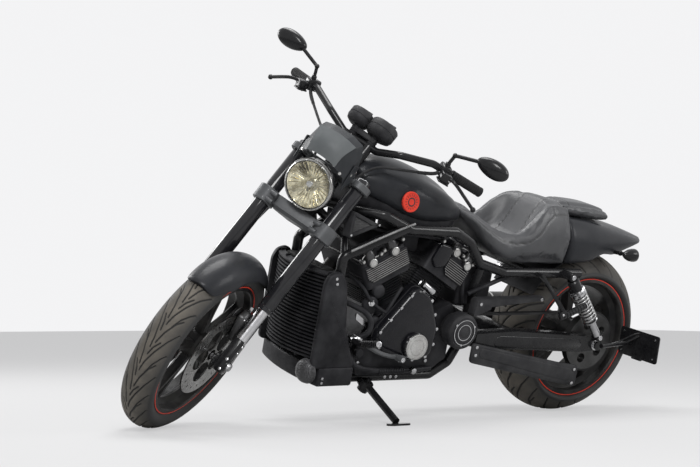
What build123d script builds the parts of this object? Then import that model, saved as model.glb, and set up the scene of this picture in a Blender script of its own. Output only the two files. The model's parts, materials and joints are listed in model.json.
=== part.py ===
# Cruiser motorcycle, parked on its side stand, millimetres and degrees.
# Every piece is modelled on the upright machine: +X forward, +Y to the rider's left, +Z up,
# with the rear axle over X = 0 and the ground at Z = 0. The steered pieces are modelled with
# the front wheel straight. At the end each piece is set in its parked place: leaning on the
# stand, steering turned to its left stop, tyres and stand foot on Z = 0.
import os
from math import cos, radians, sin, sqrt, tan

from build123d import *

# ---- driving dimensions: chassis and stance
wheelbase = 1702.0
rake = 34.0                  # steering axis from the vertical
fork_angle = 36.0            # fork legs from the vertical
trail = 114.0
parked_lean = 17.0           # to the left, onto the stand
steering_stop = 36.0         # lock to each side
seat_gap = 0.3               # clearance between seated pieces
run_gap = 6.0                # clearance round turning pieces

# ---- wheels and tyres
front_tyre_radius = 325.0
front_tyre_half = 60.0
front_crown = 62.0           # radius of the tread's arc
front_rim_radius = 241.0
front_rim_half = 48.0
rear_tyre_radius = 325.0
rear_tyre_half = 120.0
rear_crown = 130.0
rear_rim_radius = 228.6
rear_rim_half = 107.0
rim_lip = 10.0               # height of the rim's edge beyond the bead
rim_wall = 9.0
spoke_count = 5
axle_radius = 12.5
axle_gap = 0.3
front_hub_radius = 42.0
rear_hub_radius = 52.0
hub_half = 66.0
front_disc_radius = 150.0
rear_disc_radius = 150.0
disc_thickness = 5.0
front_disc_y = 74.0

# ---- fork
fork_half = 121.0            # leg's distance from the middle
outer_tube_radius = 28.0
stanchion_radius = 21.5
fork_top = 766.0             # distances along the leg from the axle
outer_low = 214.0
lug_top = 95.0
lower_clamp_s = 873.0        # distances along the steering axis from the ground
lower_clamp_depth = 56.0
upper_clamp_s = 1072.0
upper_clamp_depth = 26.0
stem_radius = 16.0
head_tube_radius = 34.0

# ---- frame
rail_radius = 18.0
rail_half = 166.0
down_half = 140.0
down_x = 1215.0
rear_rail_half = 150.0
rear_rail_z = 596.0
cradle_half = 100.0
cradle_z = 195.0
pivot_x = 585.0
pivot_z = 350.0
pivot_radius = 24.0

# ---- engine
crank_x = 890.0
crank_z = 345.0
vee_half_angle = 27.5
case_half = 140.0
deck = 150.0                 # along the cylinder from the crank
barrel_top = 245.0
head_top = 345.0
cover_top = 402.0
barrel_half = 76.0
head_half = 96.0
head_side = 140.0
pulley_x = 677.0
pulley_z = 385.0

# ---- belt
belt_y = 142.0
belt_width = 22.0
belt_thickness = 7.0
front_pulley_radius = 46.0
rear_pulley_radius = 112.0

# ---- bodywork
tank_half = 165.0
seat_half = 172.0
tail_half = 150.0

os.makedirs("parts", exist_ok=True)

front_axle_x = 1702.0        # the front axle stays, the rear one follows the wheelbase
rear_axle_at = Vector(front_axle_x - wheelbase, 0, rear_tyre_radius)
front_axle_at = Vector(front_axle_x, 0, front_tyre_radius)
left_way = Vector(0, 1, 0)


def steer_plane(s):
    """Across the steering axis, s above the ground: x forward, y left, z along the axis."""
    up = Vector(-sin(radians(rake)), 0, cos(radians(rake)))
    ahead = Vector(cos(radians(rake)), 0, sin(radians(rake)))
    return Plane(origin=Vector(front_axle_x + trail, 0, 0) + up * s, x_dir=ahead, z_dir=up)


def fork_plane(t, y=0.0):
    """Across the fork leg, t up the leg from the axle: x forward, y left, z up the leg."""
    up = Vector(-sin(radians(fork_angle)), 0, cos(radians(fork_angle)))
    ahead = Vector(cos(radians(fork_angle)), 0, sin(radians(fork_angle)))
    return Plane(origin=front_axle_at + up * t + left_way * y, x_dir=ahead, z_dir=up)


def leg_offset(s):
    """How far ahead of the steering axis the fork legs are at the height s."""
    axis = steer_plane(0)
    start = axis.to_local_coords(fork_plane(0).origin)
    end = axis.to_local_coords(fork_plane(1).origin)
    return start.X + (end.X - start.X) * (s - start.Z) / (end.Z - start.Z)


def vee_plane(side, distance):
    """Across a cylinder, at a distance from the crank: x rearward-down or forward-down side."""
    lean = radians(vee_half_angle) * side
    up = Vector(sin(lean), 0, cos(lean))
    return Plane(origin=Vector(crank_x, 0, crank_z) + up * distance,
                 x_dir=(cos(lean), 0, -sin(lean)), z_dir=up)


def side_plane(y):
    """Upright plane at the side y, with its normal to the left: x rearward, y up."""
    return Plane(origin=(0, y, 0), x_dir=(-1, 0, 0), z_dir=(0, 1, 0))


def tube(points, radius, bend, mode=Mode.ADD):
    """Bent round tube through the points, added to the part being built or taken from it."""
    with BuildLine() as route:
        if len(points) > 2:
            FilletPolyline(*points, radius=bend)
        else:
            Line(*points)
    with BuildSketch(route.line ^ 0) as ring:
        Circle(radius)
    sweep(ring.sketch, path=route.line, mode=mode)


def rod(start, end, radius, mode=Mode.ADD):
    """Round bar between two points."""
    start, end = Vector(*start), Vector(*end)
    with BuildSketch(Plane(origin=start, z_dir=end - start)) as ring:
        Circle(radius)
    extrude(ring.sketch, amount=(end - start).length, mode=mode)


def side_prism(outline, low_y, high_y, corner=0.0, mode=Mode.ADD):
    """Plate with an outline of (x, z) points, between two side distances."""
    with BuildSketch(side_plane(low_y)) as face:
        Polygon(*[(-x, z) for x, z in outline], align=None)
        if corner:
            fillet(face.vertices(), corner)
    extrude(face.sketch, amount=high_y - low_y, mode=mode)


def less(*pieces):
    """Takes other pieces' shapes out of the part being built."""
    for piece in pieces:
        add(piece.part, mode=Mode.SUBTRACT)


def both_sides(points, side):
    return [(x, y * side, z) for x, y, z in points]


def body_section(x, low, bottom_half, side_half, side_z, top_half, top_z, crown_z):
    """Closed section across the machine: flat bottom, bowed sides and a bowed or dished top."""
    with BuildSketch(Plane.YZ.offset(x)) as section:
        with BuildLine():
            Line((-bottom_half, low), (bottom_half, low))
            ThreePointArc((bottom_half, low), (side_half, side_z), (top_half, top_z))
            ThreePointArc((top_half, top_z), (0, crown_z), (-top_half, top_z))
            ThreePointArc((-top_half, top_z), (-side_half, side_z), (-bottom_half, low))
        make_face()
    return section.sketch


# ================================================================ wheels
def tyre(centre, radius, half, crown, rim_radius, rim_half, wall=11.0, crown_span=58.0):
    """Hollow tyre: tread arc, shoulders and beads, turned round its axle."""
    middle = radius - crown
    edge_y, edge_r = crown * sin(radians(crown_span)), middle + crown * cos(radians(crown_span))
    inner = crown - wall
    in_y, in_r = inner * sin(radians(crown_span)), middle + inner * cos(radians(crown_span))
    bead_y = rim_half - rim_wall - seat_gap
    bead_r = rim_radius + seat_gap
    lip_y, lip_r = rim_half - 2, rim_radius + rim_lip + seat_gap
    belly_r = (edge_r + lip_r) / 2
    with BuildSketch(Plane(origin=centre, x_dir=(0, 1, 0), z_dir=(-1, 0, 0))) as profile:
        with BuildLine():
            ThreePointArc((-edge_y, edge_r), (0, radius), (edge_y, edge_r))
            ThreePointArc((edge_y, edge_r), (half, belly_r), (lip_y, lip_r))
            Polyline((lip_y, lip_r), (bead_y, lip_r), (bead_y, bead_r), (bead_y - wall, bead_r))
            Line((bead_y - wall, bead_r), (in_y, in_r))
            ThreePointArc((in_y, in_r), (0, radius - wall), (-in_y, in_r))
            Line((-in_y, in_r), (wall - bead_y, bead_r))
            Polyline((wall - bead_y, bead_r), (-bead_y, bead_r), (-bead_y, lip_r), (-lip_y, lip_r))
            ThreePointArc((-lip_y, lip_r), (-half, belly_r), (-edge_y, edge_r))
        make_face()
    revolve(profile.sketch, axis=Axis(centre, (0, 1, 0)))


def rim_and_spokes(centre, rim_radius, rim_half, hub_radius, hub_low, hub_high, spoke_depth):
    """Cast wheel: dropped-centre rim, split spokes and a bored hub."""
    lip = rim_radius + rim_lip
    well = rim_radius - 20
    with BuildSketch(Plane(origin=centre, x_dir=(0, 1, 0), z_dir=(-1, 0, 0))) as profile:
        with BuildLine():
            Polyline((-rim_half, lip), (rim_wall - rim_half, lip), (rim_wall - rim_half, rim_radius),
                     (26 - rim_half, rim_radius), (40 - rim_half, well), (rim_half - 40, well),
                     (rim_half - 26, rim_radius), (rim_half - rim_wall, rim_radius), (rim_half - rim_wall, lip),
                     (rim_half, lip), (rim_half, rim_radius - rim_wall), (rim_half - 30, rim_radius - rim_wall),
                     (rim_half - 44, well - rim_wall), (44 - rim_half, well - rim_wall),
                     (30 - rim_half, rim_radius - rim_wall), (-rim_half, rim_radius - rim_wall), close=True)
        make_face()
    revolve(profile.sketch, axis=Axis(centre, (0, 1, 0)))
    rod(centre + left_way * hub_low, centre + left_way * hub_high, hub_radius)
    reach = well - rim_wall - hub_radius + 14
    for spoke in range(spoke_count):
        for fork in (-1, 1):
            angle = 360 / spoke_count * spoke + 7 * fork + 90
            with BuildSketch(Plane(origin=centre, x_dir=(cos(radians(angle)), 0, sin(radians(angle))),
                                   z_dir=(0, 1, 0))) as blade:
                with Locations((hub_radius - 7 + reach / 2, 0)):
                    Rectangle(reach, 20)
            extrude(blade.sketch, amount=spoke_depth / 2, both=True)
    rod(centre + left_way * (hub_low - 1), centre + left_way * (hub_high + 1), axle_radius + axle_gap,
        mode=Mode.SUBTRACT)


with BuildPart() as front_tyre:
    tyre(front_axle_at, front_tyre_radius, front_tyre_half, front_crown, front_rim_radius,
         front_rim_half)

with BuildPart() as front_wheel:
    rim_and_spokes(front_axle_at, front_rim_radius, front_rim_half, front_hub_radius,
                   -hub_half, hub_half, 34)

with BuildPart() as rear_tyre:
    tyre(rear_axle_at, rear_tyre_radius, rear_tyre_half, rear_crown, rear_rim_radius,
         rear_rim_half, wall=13.0)

pulley_half = belt_width / 2 + 3
rear_disc_y = -128.0
with BuildPart() as rear_wheel:
    rim_and_spokes(rear_axle_at, rear_rim_radius, rear_rim_half, rear_hub_radius,
                   rear_disc_y + seat_gap, belt_y - pulley_half - seat_gap, 52)


def brake_disc(centre, y, radius, inner):
    """Drilled brake disc at the side y."""
    with BuildSketch(Plane(origin=centre + left_way * y, x_dir=(1, 0, 0), z_dir=(0, 1, 0))) as face:
        Circle(radius)
        Circle(inner, mode=Mode.SUBTRACT)
        with PolarLocations(radius - 22, 20):
            Circle(4, mode=Mode.SUBTRACT)
        with PolarLocations((inner + radius - 38) / 2, 5):
            Circle((radius - 38 - inner) / 2 - 7, mode=Mode.SUBTRACT)
    extrude(face.sketch, amount=disc_thickness)


disc_inner = axle_radius + 8
with BuildPart() as front_discs:
    brake_disc(front_axle_at, hub_half + seat_gap, front_disc_radius, disc_inner)
    brake_disc(front_axle_at, -hub_half - seat_gap - disc_thickness, front_disc_radius, disc_inner)

with BuildPart() as rear_disc:
    brake_disc(rear_axle_at, rear_disc_y - disc_thickness, rear_disc_radius, disc_inner)

with BuildPart() as rear_pulley:
    with BuildSketch(Plane(origin=rear_axle_at + left_way * (belt_y - pulley_half),
                           x_dir=(1, 0, 0), z_dir=(0, 1, 0))):
        Circle(rear_pulley_radius)
        with PolarLocations(rear_pulley_radius * 0.62, 5):
            Circle(19, mode=Mode.SUBTRACT)
        Circle(disc_inner, mode=Mode.SUBTRACT)
    extrude(amount=2 * pulley_half)

# ================================================================ fork and steering
arm_y = 176.0                # swingarm arm's middle
arm_half = 18.0
lug_half = 20.0
with BuildPart() as front_axle:
    rod(front_axle_at + left_way * -(fork_half + 30), front_axle_at + left_way * (fork_half + 30),
        axle_radius)
    rod(front_axle_at + left_way * -(fork_half + 31), front_axle_at + left_way * (fork_half + 31),
        axle_radius - 5, mode=Mode.SUBTRACT)

with BuildPart() as fork_tubes:
    for side in (-1, 1):
        with BuildSketch(fork_plane(outer_low, fork_half * side)):
            Circle(outer_tube_radius)
            Circle(stanchion_radius + seat_gap, mode=Mode.SUBTRACT)
        extrude(amount=fork_top - outer_low - 12)
        with BuildSketch(fork_plane(fork_top - 12, fork_half * side)):
            Circle(outer_tube_radius)
        extrude(amount=12)

with BuildPart() as fork_lowers:
    for side in (-1, 1):
        with BuildSketch(fork_plane(lug_top - 10, fork_half * side)):
            Circle(stanchion_radius)
        extrude(amount=outer_low + 200 - lug_top)
        with BuildSketch(fork_plane(-34, fork_half * side)):
            Rectangle(58, 2 * lug_half)
        extrude(amount=lug_top + 34)
        rod(front_axle_at + left_way * (side * (fork_half - 31)),
            front_axle_at + left_way * (side * (fork_half + 22)), 25)
        rod(front_axle_at + left_way * (side * (fork_half - 40)),
            front_axle_at + left_way * (side * (fork_half + 40)), axle_radius + seat_gap,
            mode=Mode.SUBTRACT)

clamp_boss = outer_tube_radius + 12
with BuildPart() as fork_clamps:
    for middle_s, depth, fore, aft in ((lower_clamp_s, lower_clamp_depth, 8, 34),
                                       (upper_clamp_s, upper_clamp_depth, 0, 28)):
        base = steer_plane(middle_s - depth / 2)
        ahead = leg_offset(middle_s)
        with BuildSketch(base):
            for side in (-1, 1):
                with Locations((ahead, fork_half * side)):
                    Circle(clamp_boss)
            with Locations(((ahead + fore - aft) / 2, 0)):
                Rectangle(ahead + fore + aft, 2 * fork_half - clamp_boss)
        extrude(amount=depth)
    for side in (-1, 1):
        with BuildSketch(fork_plane(400, fork_half * side)):
            Circle(outer_tube_radius + seat_gap)
        extrude(amount=500, mode=Mode.SUBTRACT)
    with BuildSketch(steer_plane(lower_clamp_s)):
        Circle(stem_radius)
    extrude(amount=upper_clamp_s - lower_clamp_s)

fender_radius = front_tyre_radius + 16
with BuildPart() as front_fender:
    with BuildSketch(Plane(origin=front_axle_at, x_dir=(0, 1, 0), z_dir=(-1, 0, 0))):
        with BuildLine():
            half = front_tyre_half + 14
            ThreePointArc((-half, fender_radius - 52), (0, fender_radius), (half, fender_radius - 52))
            Line((half, fender_radius - 52), (half - 4, fender_radius - 53))
            ThreePointArc((half - 4, fender_radius - 53), (0, fender_radius - 4),
                          (4 - half, fender_radius - 53))
            Line((4 - half, fender_radius - 53), (-half, fender_radius - 52))
        make_face()
    revolve(axis=Axis(front_axle_at, (0, 1, 0)), revolution_arc=90)
front_fender.part = front_fender.part.rotate(Axis(front_axle_at, (0, 1, 0)), 105)
with BuildPart(mode=Mode.PRIVATE) as fender_bosses:
    boss_at = fork_plane(fender_radius - 36, 0).origin
    for side in (-1, 1):
        rod(boss_at + left_way * side * (front_tyre_half + 8),
            boss_at + left_way * side * (fork_half - outer_tube_radius - seat_gap), 7)
front_fender.part = front_fender.part + fender_bosses.part

lamp_at = Vector(1367, 0, 887)
lamp_radius = 88.0
lamp_rim_x = 34.0            # lens seat ahead of the lamp's middle
with BuildPart() as headlight_shell:
    with BuildSketch(Plane.XZ) as half_section:
        with BuildLine():
            Polyline((lamp_at.X + lamp_rim_x, lamp_at.Z), (lamp_at.X + lamp_rim_x, lamp_at.Z + lamp_radius),
                     (lamp_at.X + lamp_rim_x - 30, lamp_at.Z + lamp_radius))
            ThreePointArc((lamp_at.X + lamp_rim_x - 30, lamp_at.Z + lamp_radius),
                          (lamp_at.X - 42, lamp_at.Z + 52), (lamp_at.X - 62, lamp_at.Z))
            Line((lamp_at.X - 62, lamp_at.Z), (lamp_at.X + lamp_rim_x, lamp_at.Z))
        make_face()
    revolve(axis=Axis(lamp_at, (1, 0, 0)))
    with BuildSketch(Plane(origin=lamp_at + Vector(lamp_rim_x, 0, 0), z_dir=(-1, 0, 0))):
        Circle(lamp_radius - 6)
    extrude(amount=26, taper=14, mode=Mode.SUBTRACT)

lens_edge, lens_bulge = 5.0, 19.0
lens_radius = lamp_radius - 2
with BuildPart() as headlight_lens:
    lens_at = lamp_at + Vector(lamp_rim_x + seat_gap, 0, 0)
    with BuildSketch(Plane(origin=lens_at, x_dir=(1, 0, 0), z_dir=(0, -1, 0))):
        with BuildLine():
            Polyline((lens_edge + lens_bulge, 0), (0, 0), (0, lens_radius), (lens_edge, lens_radius))
            ThreePointArc((lens_edge, lens_radius), (lens_edge + lens_bulge * 0.76, lens_radius / 2),
                          (lens_edge + lens_bulge, 2))
            Line((lens_edge + lens_bulge, 2), (lens_edge + lens_bulge, 0))
        make_face()
    revolve(axis=Axis(lens_at, (1, 0, 0)))

# the lamp's bracket stands on the lower clamp
with BuildPart(mode=Mode.PRIVATE) as lamp_bracket:
    foot = steer_plane(lower_clamp_s + lower_clamp_depth / 2 + seat_gap)
    with BuildSketch(foot):
        with Locations((66, 0)):
            Rectangle(18, 60)
    extrude(amount=86)
headlight_shell.part = headlight_shell.part + lamp_bracket.part

cowl_top = 1082.0
with BuildPart() as headlight_cowl:
    for x, low, half_low, half_top, top in ((1296, 925, 98, 88, cowl_top), (1352, 985, 84, 76, 1074),
                                            (1398, 988, 62, 56, 1040)):
        with BuildSketch(Plane.YZ.offset(x)):
            with BuildLine():
                Line((-half_low, low), (half_low, low))
                Line((half_low, low), (half_top, top - 22))
                ThreePointArc((half_top, top - 22), (0, top), (-half_top, top - 22))
                Line((-half_top, top - 22), (-half_low, low))
            make_face()
    loft(ruled=True)
    for side in (-1, 1):
        side_prism([(1290, 930), (1372, 905), (1396, 960), (1372, 1010), (1300, 1052)],
                   92 * side, 101 * side)
    rod((1240, 0, lamp_at.Z), (1420, 0, lamp_at.Z), lamp_radius + seat_gap, mode=Mode.SUBTRACT)
    for side in (-1, 1):
        rod(fork_plane(660, fork_half * side).origin, fork_plane(860, fork_half * side).origin,
            clamp_boss + seat_gap, mode=Mode.SUBTRACT)

bar_middle = Vector(1128, 0, 1012)
bar_radius = 13.0
grip_start = Vector(1016, 306, 1050)
grip_end = Vector(934, 407, 1023)
with BuildPart() as handlebar:
    half_bar = [tuple(bar_middle), (bar_middle.X, 70, bar_middle.Z), (1120, 150, 1046),
                (1062, 250, 1064), tuple(grip_start), tuple(grip_end)]
    for side in (-1, 1):
        tube(both_sides(half_bar, side), bar_radius, 30)
    riser_base = steer_plane(upper_clamp_s + upper_clamp_depth / 2 + seat_gap)
    for side in (-1, 1):
        start = riser_base.from_local_coords(Vector(8, 38 * side, 0))
        rod(start - riser_base.z_dir * 12, bar_middle + left_way * (38 * side), 17)
    less(fork_clamps)

with BuildPart() as grips:
    way = (grip_end - grip_start).normalized()
    for side in (-1, 1):
        a = grip_start + way * 6
        b = grip_end + way * 4
        a, b = Vector(a.X, a.Y * side, a.Z), Vector(b.X, b.Y * side, b.Z)
        rod(a, b, 18)
        rod(a, b - (b - a).normalized() * 3.5, bar_radius + seat_gap, mode=Mode.SUBTRACT)

with BuildPart() as hand_controls:
    for side in (-1, 1):
        def at(x, y, z):
            return Vector(x, y * side, z)
        start = at(*tuple(grip_start))
        away = (at(1062, 250, 1064) - start).normalized()
        ahead = away.cross(Vector(0, 0, -side)).normalized()
        with BuildSketch(Plane(origin=start + away * 4, x_dir=ahead, z_dir=away)):
            RectangleRounded(52, 46, 8)
            Circle(bar_radius + seat_gap, mode=Mode.SUBTRACT)
            with Locations((40, 8 * side)):
                RectangleRounded(34, 40, 6)
        extrude(amount=44)
        tube([tuple(start + away * 20 + ahead * 50), tuple(start + ahead * 74 - away * 6),
              tuple(at(1039, 442, 995))], 7, 20)
        with Locations(at(1039, 442, 995)):
            Sphere(10)

with BuildPart() as mirrors:
    for side in (-1, 1):
        def at(x, y, z):
            return Vector(x, y * side, z)
        tube([tuple(at(1040, 290, 1068)), tuple(at(1040, 298, 1124)), tuple(at(1030, 372, 1150))], 7, 16)
        with BuildSketch(Plane(origin=at(1034, 432, 1153), x_dir=(0, 1, 0), z_dir=(-1, 0, -0.12))):
            Ellipse(62, 36)
        extrude(amount=16, both=True)
    less(hand_controls, handlebar)

pod_at = Vector(1104, 0, 1072)
with BuildPart() as instruments:
    with BuildSketch(Plane(origin=pod_at, x_dir=(0, 1, 0), z_dir=(-0.62, 0, 0.78))):
        for y, radius in ((-58, 42), (0, 48), (58, 42)):
            with Locations((y, 0)):
                Circle(radius)
    extrude(amount=30, both=True)
    rod(bar_middle, pod_at, 20)
    rod(bar_middle - left_way * 110, bar_middle + left_way * 110, bar_radius + seat_gap,
        mode=Mode.SUBTRACT)

with BuildPart() as front_calipers:
    for side in (-1, 1):
        disc_low = hub_half + seat_gap
        with BuildSketch(side_plane(side * (disc_low - 14))) as pads:
            Polygon((-front_axle_x + 58, 372), (-front_axle_x + 58, 470), (-front_axle_x + 100, 486),
                    (-front_axle_x + 138, 452), (-front_axle_x + 116, 366), align=None)
        extrude(amount=side * (disc_thickness + 42))
        with BuildSketch(side_plane(side * (disc_low - 1.5))):
            with Locations((-front_axle_at.X, front_axle_at.Z)):
                Circle(front_disc_radius + 3)
        extrude(amount=side * (disc_thickness + 3), mode=Mode.SUBTRACT)

with BuildPart() as cables:
    for side in (-1, 1):
        tube(both_sides([(1068, 262, 1032), (1140, 180, 1010), (1204, 100, 990), (1245, 83.2, 922.7)], side),
             5, 16)
    less(fork_clamps)

# ================================================================ frame
with BuildPart() as frame:
    head_low = lower_clamp_s + lower_clamp_depth / 2 + 1
    head_high = upper_clamp_s - upper_clamp_depth / 2 - 1
    with BuildSketch(steer_plane(head_low)):
        Circle(head_tube_radius)
    extrude(amount=head_high - head_low)
    cross_low = steer_plane(head_low + 50).origin
    cross_high = steer_plane(head_high - 82).origin
    for side in (-1, 1):
        upper = [tuple(cross_high), (1160, 84, 790), (1085, 160, 792), (975, rail_half, 748),
                 (772, rail_half, 744), (695, rail_half, 705), (622, rear_rail_half, 628),
                 (500, rear_rail_half, rear_rail_z), (120, rear_rail_half, rear_rail_z)]
        tube(both_sides(upper, side), rail_radius, 30)
        lower = [(990, rail_half, 752), (1218, down_half, 640), (down_x, down_half, 235),
                 (1180, cradle_half, cradle_z), (720, cradle_half, cradle_z),
                 (640, 98, 240), (pivot_x, 98, pivot_z), (594, 100, 470), (610, 146, 612)]
        tube(both_sides(lower, side), rail_radius, 24)
        tube(both_sides([tuple(cross_low), (1196, 100, 700), (1214, down_half, 640)], side),
             rail_radius - 4, 20)
    rod((pivot_x, -158, pivot_z), (pivot_x, 158, pivot_z), pivot_radius)
    rod((350, -rear_rail_half, rear_rail_z), (350, rear_rail_half, rear_rail_z), 12)
    with BuildSketch(steer_plane(head_low - 5)):
        Circle(stem_radius + seat_gap)
    extrude(amount=head_high - head_low + 10, mode=Mode.SUBTRACT)

# ================================================================ engine
deck_front = [vee_plane(1, deck).from_local_coords(Vector(w, 0, 0)) for w in (barrel_half, -barrel_half)]
deck_rear = [vee_plane(-1, deck).from_local_coords(Vector(w, 0, 0)) for w in (barrel_half, -barrel_half)]
case_low = cradle_z + rail_radius + seat_gap
case_outline = [(740, case_low), (1090, case_low), (1112, 300), (deck_front[0].X, deck_front[0].Z),
                (deck_front[1].X, deck_front[1].Z), (crank_x, 530), (deck_rear[0].X, deck_rear[0].Z),
                (deck_rear[1].X, deck_rear[1].Z), (690, 470), (672, 440), (672, 264)]
with BuildPart() as crankcase:
    side_prism(case_outline, -case_half + 20, case_half - 20)
    side_prism([(775, case_low), (1080, case_low), (1106, 300), (1030, 425), (890, 470),
                (775, 430)], -case_half, case_half, corner=18)


def cylinder_stack(side):
    """Finned barrel, wide head and rounded cam cover of one cylinder."""
    with BuildSketch(vee_plane(side, deck + seat_gap)) as barrel:
        RectangleRounded(2 * barrel_half - 4, 190, 20)
    extrude(barrel.sketch, amount=barrel_top - deck)
    with BuildSketch(vee_plane(side, barrel_top)) as head:
        RectangleRounded(2 * head_half, 2 * head_side, 24)
    extrude(head.sketch, amount=head_top - barrel_top)
    with BuildSketch(vee_plane(side, head_top)) as cover:
        RectangleRounded(2 * head_half - 30, 2 * head_side - 16, 30)
    extrude(cover.sketch, amount=cover_top - head_top, taper=12)


with BuildPart() as front_cylinder:
    cylinder_stack(1)

with BuildPart() as rear_cylinder:
    cylinder_stack(-1)

# silver plaques on the heads' left sides, each with its two round caps, and the cover's cap
plaques = ((1, 10, -93, 88), (-1, -15, -74, 74))
cap_x, cap_z = 893.0, 339.0
cover_y = 200.0
with BuildPart() as engine_trim:
    for side, middle, back, fore in plaques:
        base = vee_plane(side, 310)
        face = Plane(origin=base.origin + left_way * (head_side + seat_gap), x_dir=base.x_dir, z_dir=(0, 1, 0))
        with BuildSketch(face):
            Polygon((back, -34), (back, 30), (fore - 22, 30), (fore, 8), (fore, -34), align=None)
        extrude(amount=7)
        with BuildSketch(face):
            with Locations((middle - 50, -30), (middle + 50, -30)):
                Circle(17)
        extrude(amount=14)
    with BuildSketch(Plane(origin=(cap_x, cover_y + 12 + seat_gap, cap_z), z_dir=(0, 1, 0))):
        Circle(41)
    extrude(amount=8)

left_outline = [(915, 560), (1068, 378), (1045, 312), (930, 268), (800, 290), (786, 400), (840, 520)]
with BuildPart() as engine_covers:
    side_prism(left_outline, case_half + seat_gap, cover_y, corner=30)
    rod((cap_x, cover_y - 1, cap_z), (cap_x, cover_y + 12, cap_z), 50)
    with BuildSketch(side_plane(-case_half - seat_gap)):
        with Locations((-820, 345)):
            Circle(112)
        with Locations((-960, 345)):
            Circle(78)
    extrude(amount=-58)

# ================================================================ radiator
tyre_room = 55.0             # from the front tyre back to the radiator
rad_front = front_axle_x - front_tyre_radius - tyre_room
slat_count = 14
slat_pitch = 22.0
slat_low = 290.0
with BuildPart() as radiator:
    with Locations((rad_front - 70, 0, 430)):
        Box(46, 2 * down_half - 2 * rail_radius - 10, 324)
    for slat in range(slat_count):
        z = slat_low + slat * slat_pitch
        with BuildSketch(Plane.XY.offset(z)):
            with BuildLine():
                ThreePointArc((rad_front - 38, -150), (rad_front, 0), (rad_front - 38, 150))
                Line((rad_front - 38, 150), (rad_front - 50, 150))
                ThreePointArc((rad_front - 50, 150), (rad_front - 12, 0), (rad_front - 50, -150))
                Line((rad_front - 50, -150), (rad_front - 38, -150))
            make_face()
        extrude(amount=8)
    for y in (-80, 0, 80):
        with Locations((rad_front - 32, y, 424)):
            Box(34, 8, 308)
    for side in (-1, 1):
        rod((rad_front - 82, 108 * side, 570), (down_x, down_half * side, 570), 7)
    less(frame)

header_radius = 24.0
header_front = [(1114, -60, 568), (1158, -66, 500), (1158, -90, 320), (1128, -214, 270), (1010, -262, 252),
                (600, -262, 252)]
header_rear = [(672, -70, 564), (648, -96, 520), (664, -214, 480), (640, -262, 400), (610, -262, 352),
               (560, -262, 352)]
shroud_half = 182.0
chin_back = rad_front - 202
horn_at = Vector(rad_front - 32, 146, 240)
horn_way = Vector(1, 0.22, -0.05).normalized()
horn_radius, horn_depth = 44.0, 36.0
with BuildPart() as radiator_shroud:
    for side in (-1, 1):
        side_prism([(rad_front - 22, 250), (rad_front - 24, 560), (rad_front - 40, 588), (rad_front - 82, 600),
                    (rad_front - 116, 560), (rad_front - 142, 400), (rad_front - 206, 250)],
                   side * (down_half + rail_radius + 2), side * shroud_half)
    with BuildSketch(Plane.XY.offset(190)):
        with BuildLine():
            ThreePointArc((rad_front - 58, -shroud_half), (rad_front - 28, 0), (rad_front - 58, shroud_half))
            Polyline((rad_front - 58, shroud_half), (chin_back, shroud_half), (chin_back, -shroud_half),
                     (rad_front - 58, -shroud_half))
        make_face()
    extrude(amount=72)
    rod(horn_at - horn_way * 40, horn_at - horn_way * seat_gap, 9)
    with BuildSketch(Plane(origin=horn_at - horn_way * seat_gap, z_dir=horn_way)):
        Circle(horn_radius + 3)
    extrude(amount=60, mode=Mode.SUBTRACT)
    for side in (-1, 1):
        rod((down_x, down_half * side, 300), (down_x, down_half * side, 150), rail_radius + 5, mode=Mode.SUBTRACT)
    with Locations((1130, 0, 215)):
        Box(110, 2 * cradle_half + 2 * rail_radius + 20, 110, mode=Mode.SUBTRACT)
    with Locations((1185, 0, 215)):
        Box(60, 2 * down_half + 2 * rail_radius + 10, 110, mode=Mode.SUBTRACT)
    tube(header_front, header_radius + run_gap, 36, mode=Mode.SUBTRACT)
    less(frame)

with BuildPart() as horn:
    with BuildSketch(Plane(origin=horn_at, x_dir=horn_way, z_dir=(0, -0.22, -1))):
        with BuildLine():
            Polyline((horn_depth, 0), (0, 0), (0, horn_radius))
            ThreePointArc((0, horn_radius), (horn_depth * 0.75, horn_radius * 0.62), (horn_depth, 0))
        make_face()
    revolve(axis=Axis(horn_at, horn_way))

# ================================================================ bodywork
# columns: x, low, bottom half width, side half width, side z, top half width, top z, crown z
tank_sections = ((1166, 862, 78, 90, 890, 62, 930, 944), (1110, 838, 104, 120, 876, 76, 938, 964),
                 (1040, 808, 132, 152, 862, 96, 938, 970), (930, 772, 142, tank_half, 838, 100, 922, 950),
                 (800, 768, 134, 152, 815, 88, 872, 898), (706, 768, 92, 100, 790, 62, 820, 838))
# the room that the clamps and fork legs need from lock to lock
with BuildPart(mode=Mode.PRIVATE) as steering_room:
    with BuildSketch(steer_plane(lower_clamp_s - lower_clamp_depth)):
        Circle(112)
    extrude(amount=400)
    turned_from, turned_to = steer_plane(0).location, steer_plane(0).location.inverse()
    for share in (-1, -0.75, -0.5, 0.5, 0.75, 1):
        for side in (-1, 1):
            with BuildPart(mode=Mode.PRIVATE) as leg:
                with BuildSketch(fork_plane(420, fork_half * side)):
                    Circle(clamp_boss + run_gap)
                extrude(amount=400)
            add(turned_from * Rot(0, 0, steering_stop * share) * turned_to * leg.part)

with BuildPart() as tank_cover:
    loft([body_section(*section) for section in tank_sections])
    for side in (-1, 1):
        rod((900, 136 * side, 800), (900, rail_half * side, 747), 9)
        rod((975, rail_half * side, 748), (772, rail_half * side, 744), rail_radius + seat_gap, mode=Mode.SUBTRACT)
    add(steering_room.part, mode=Mode.SUBTRACT)

badge_at = Vector(995, 165, 845)
with BuildPart() as tank_badge:
    with BuildSketch(Plane(origin=badge_at, z_dir=(0, 1, 0.12))):
        Circle(36)
    extrude(amount=5, both=True)
    less(tank_cover)

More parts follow.
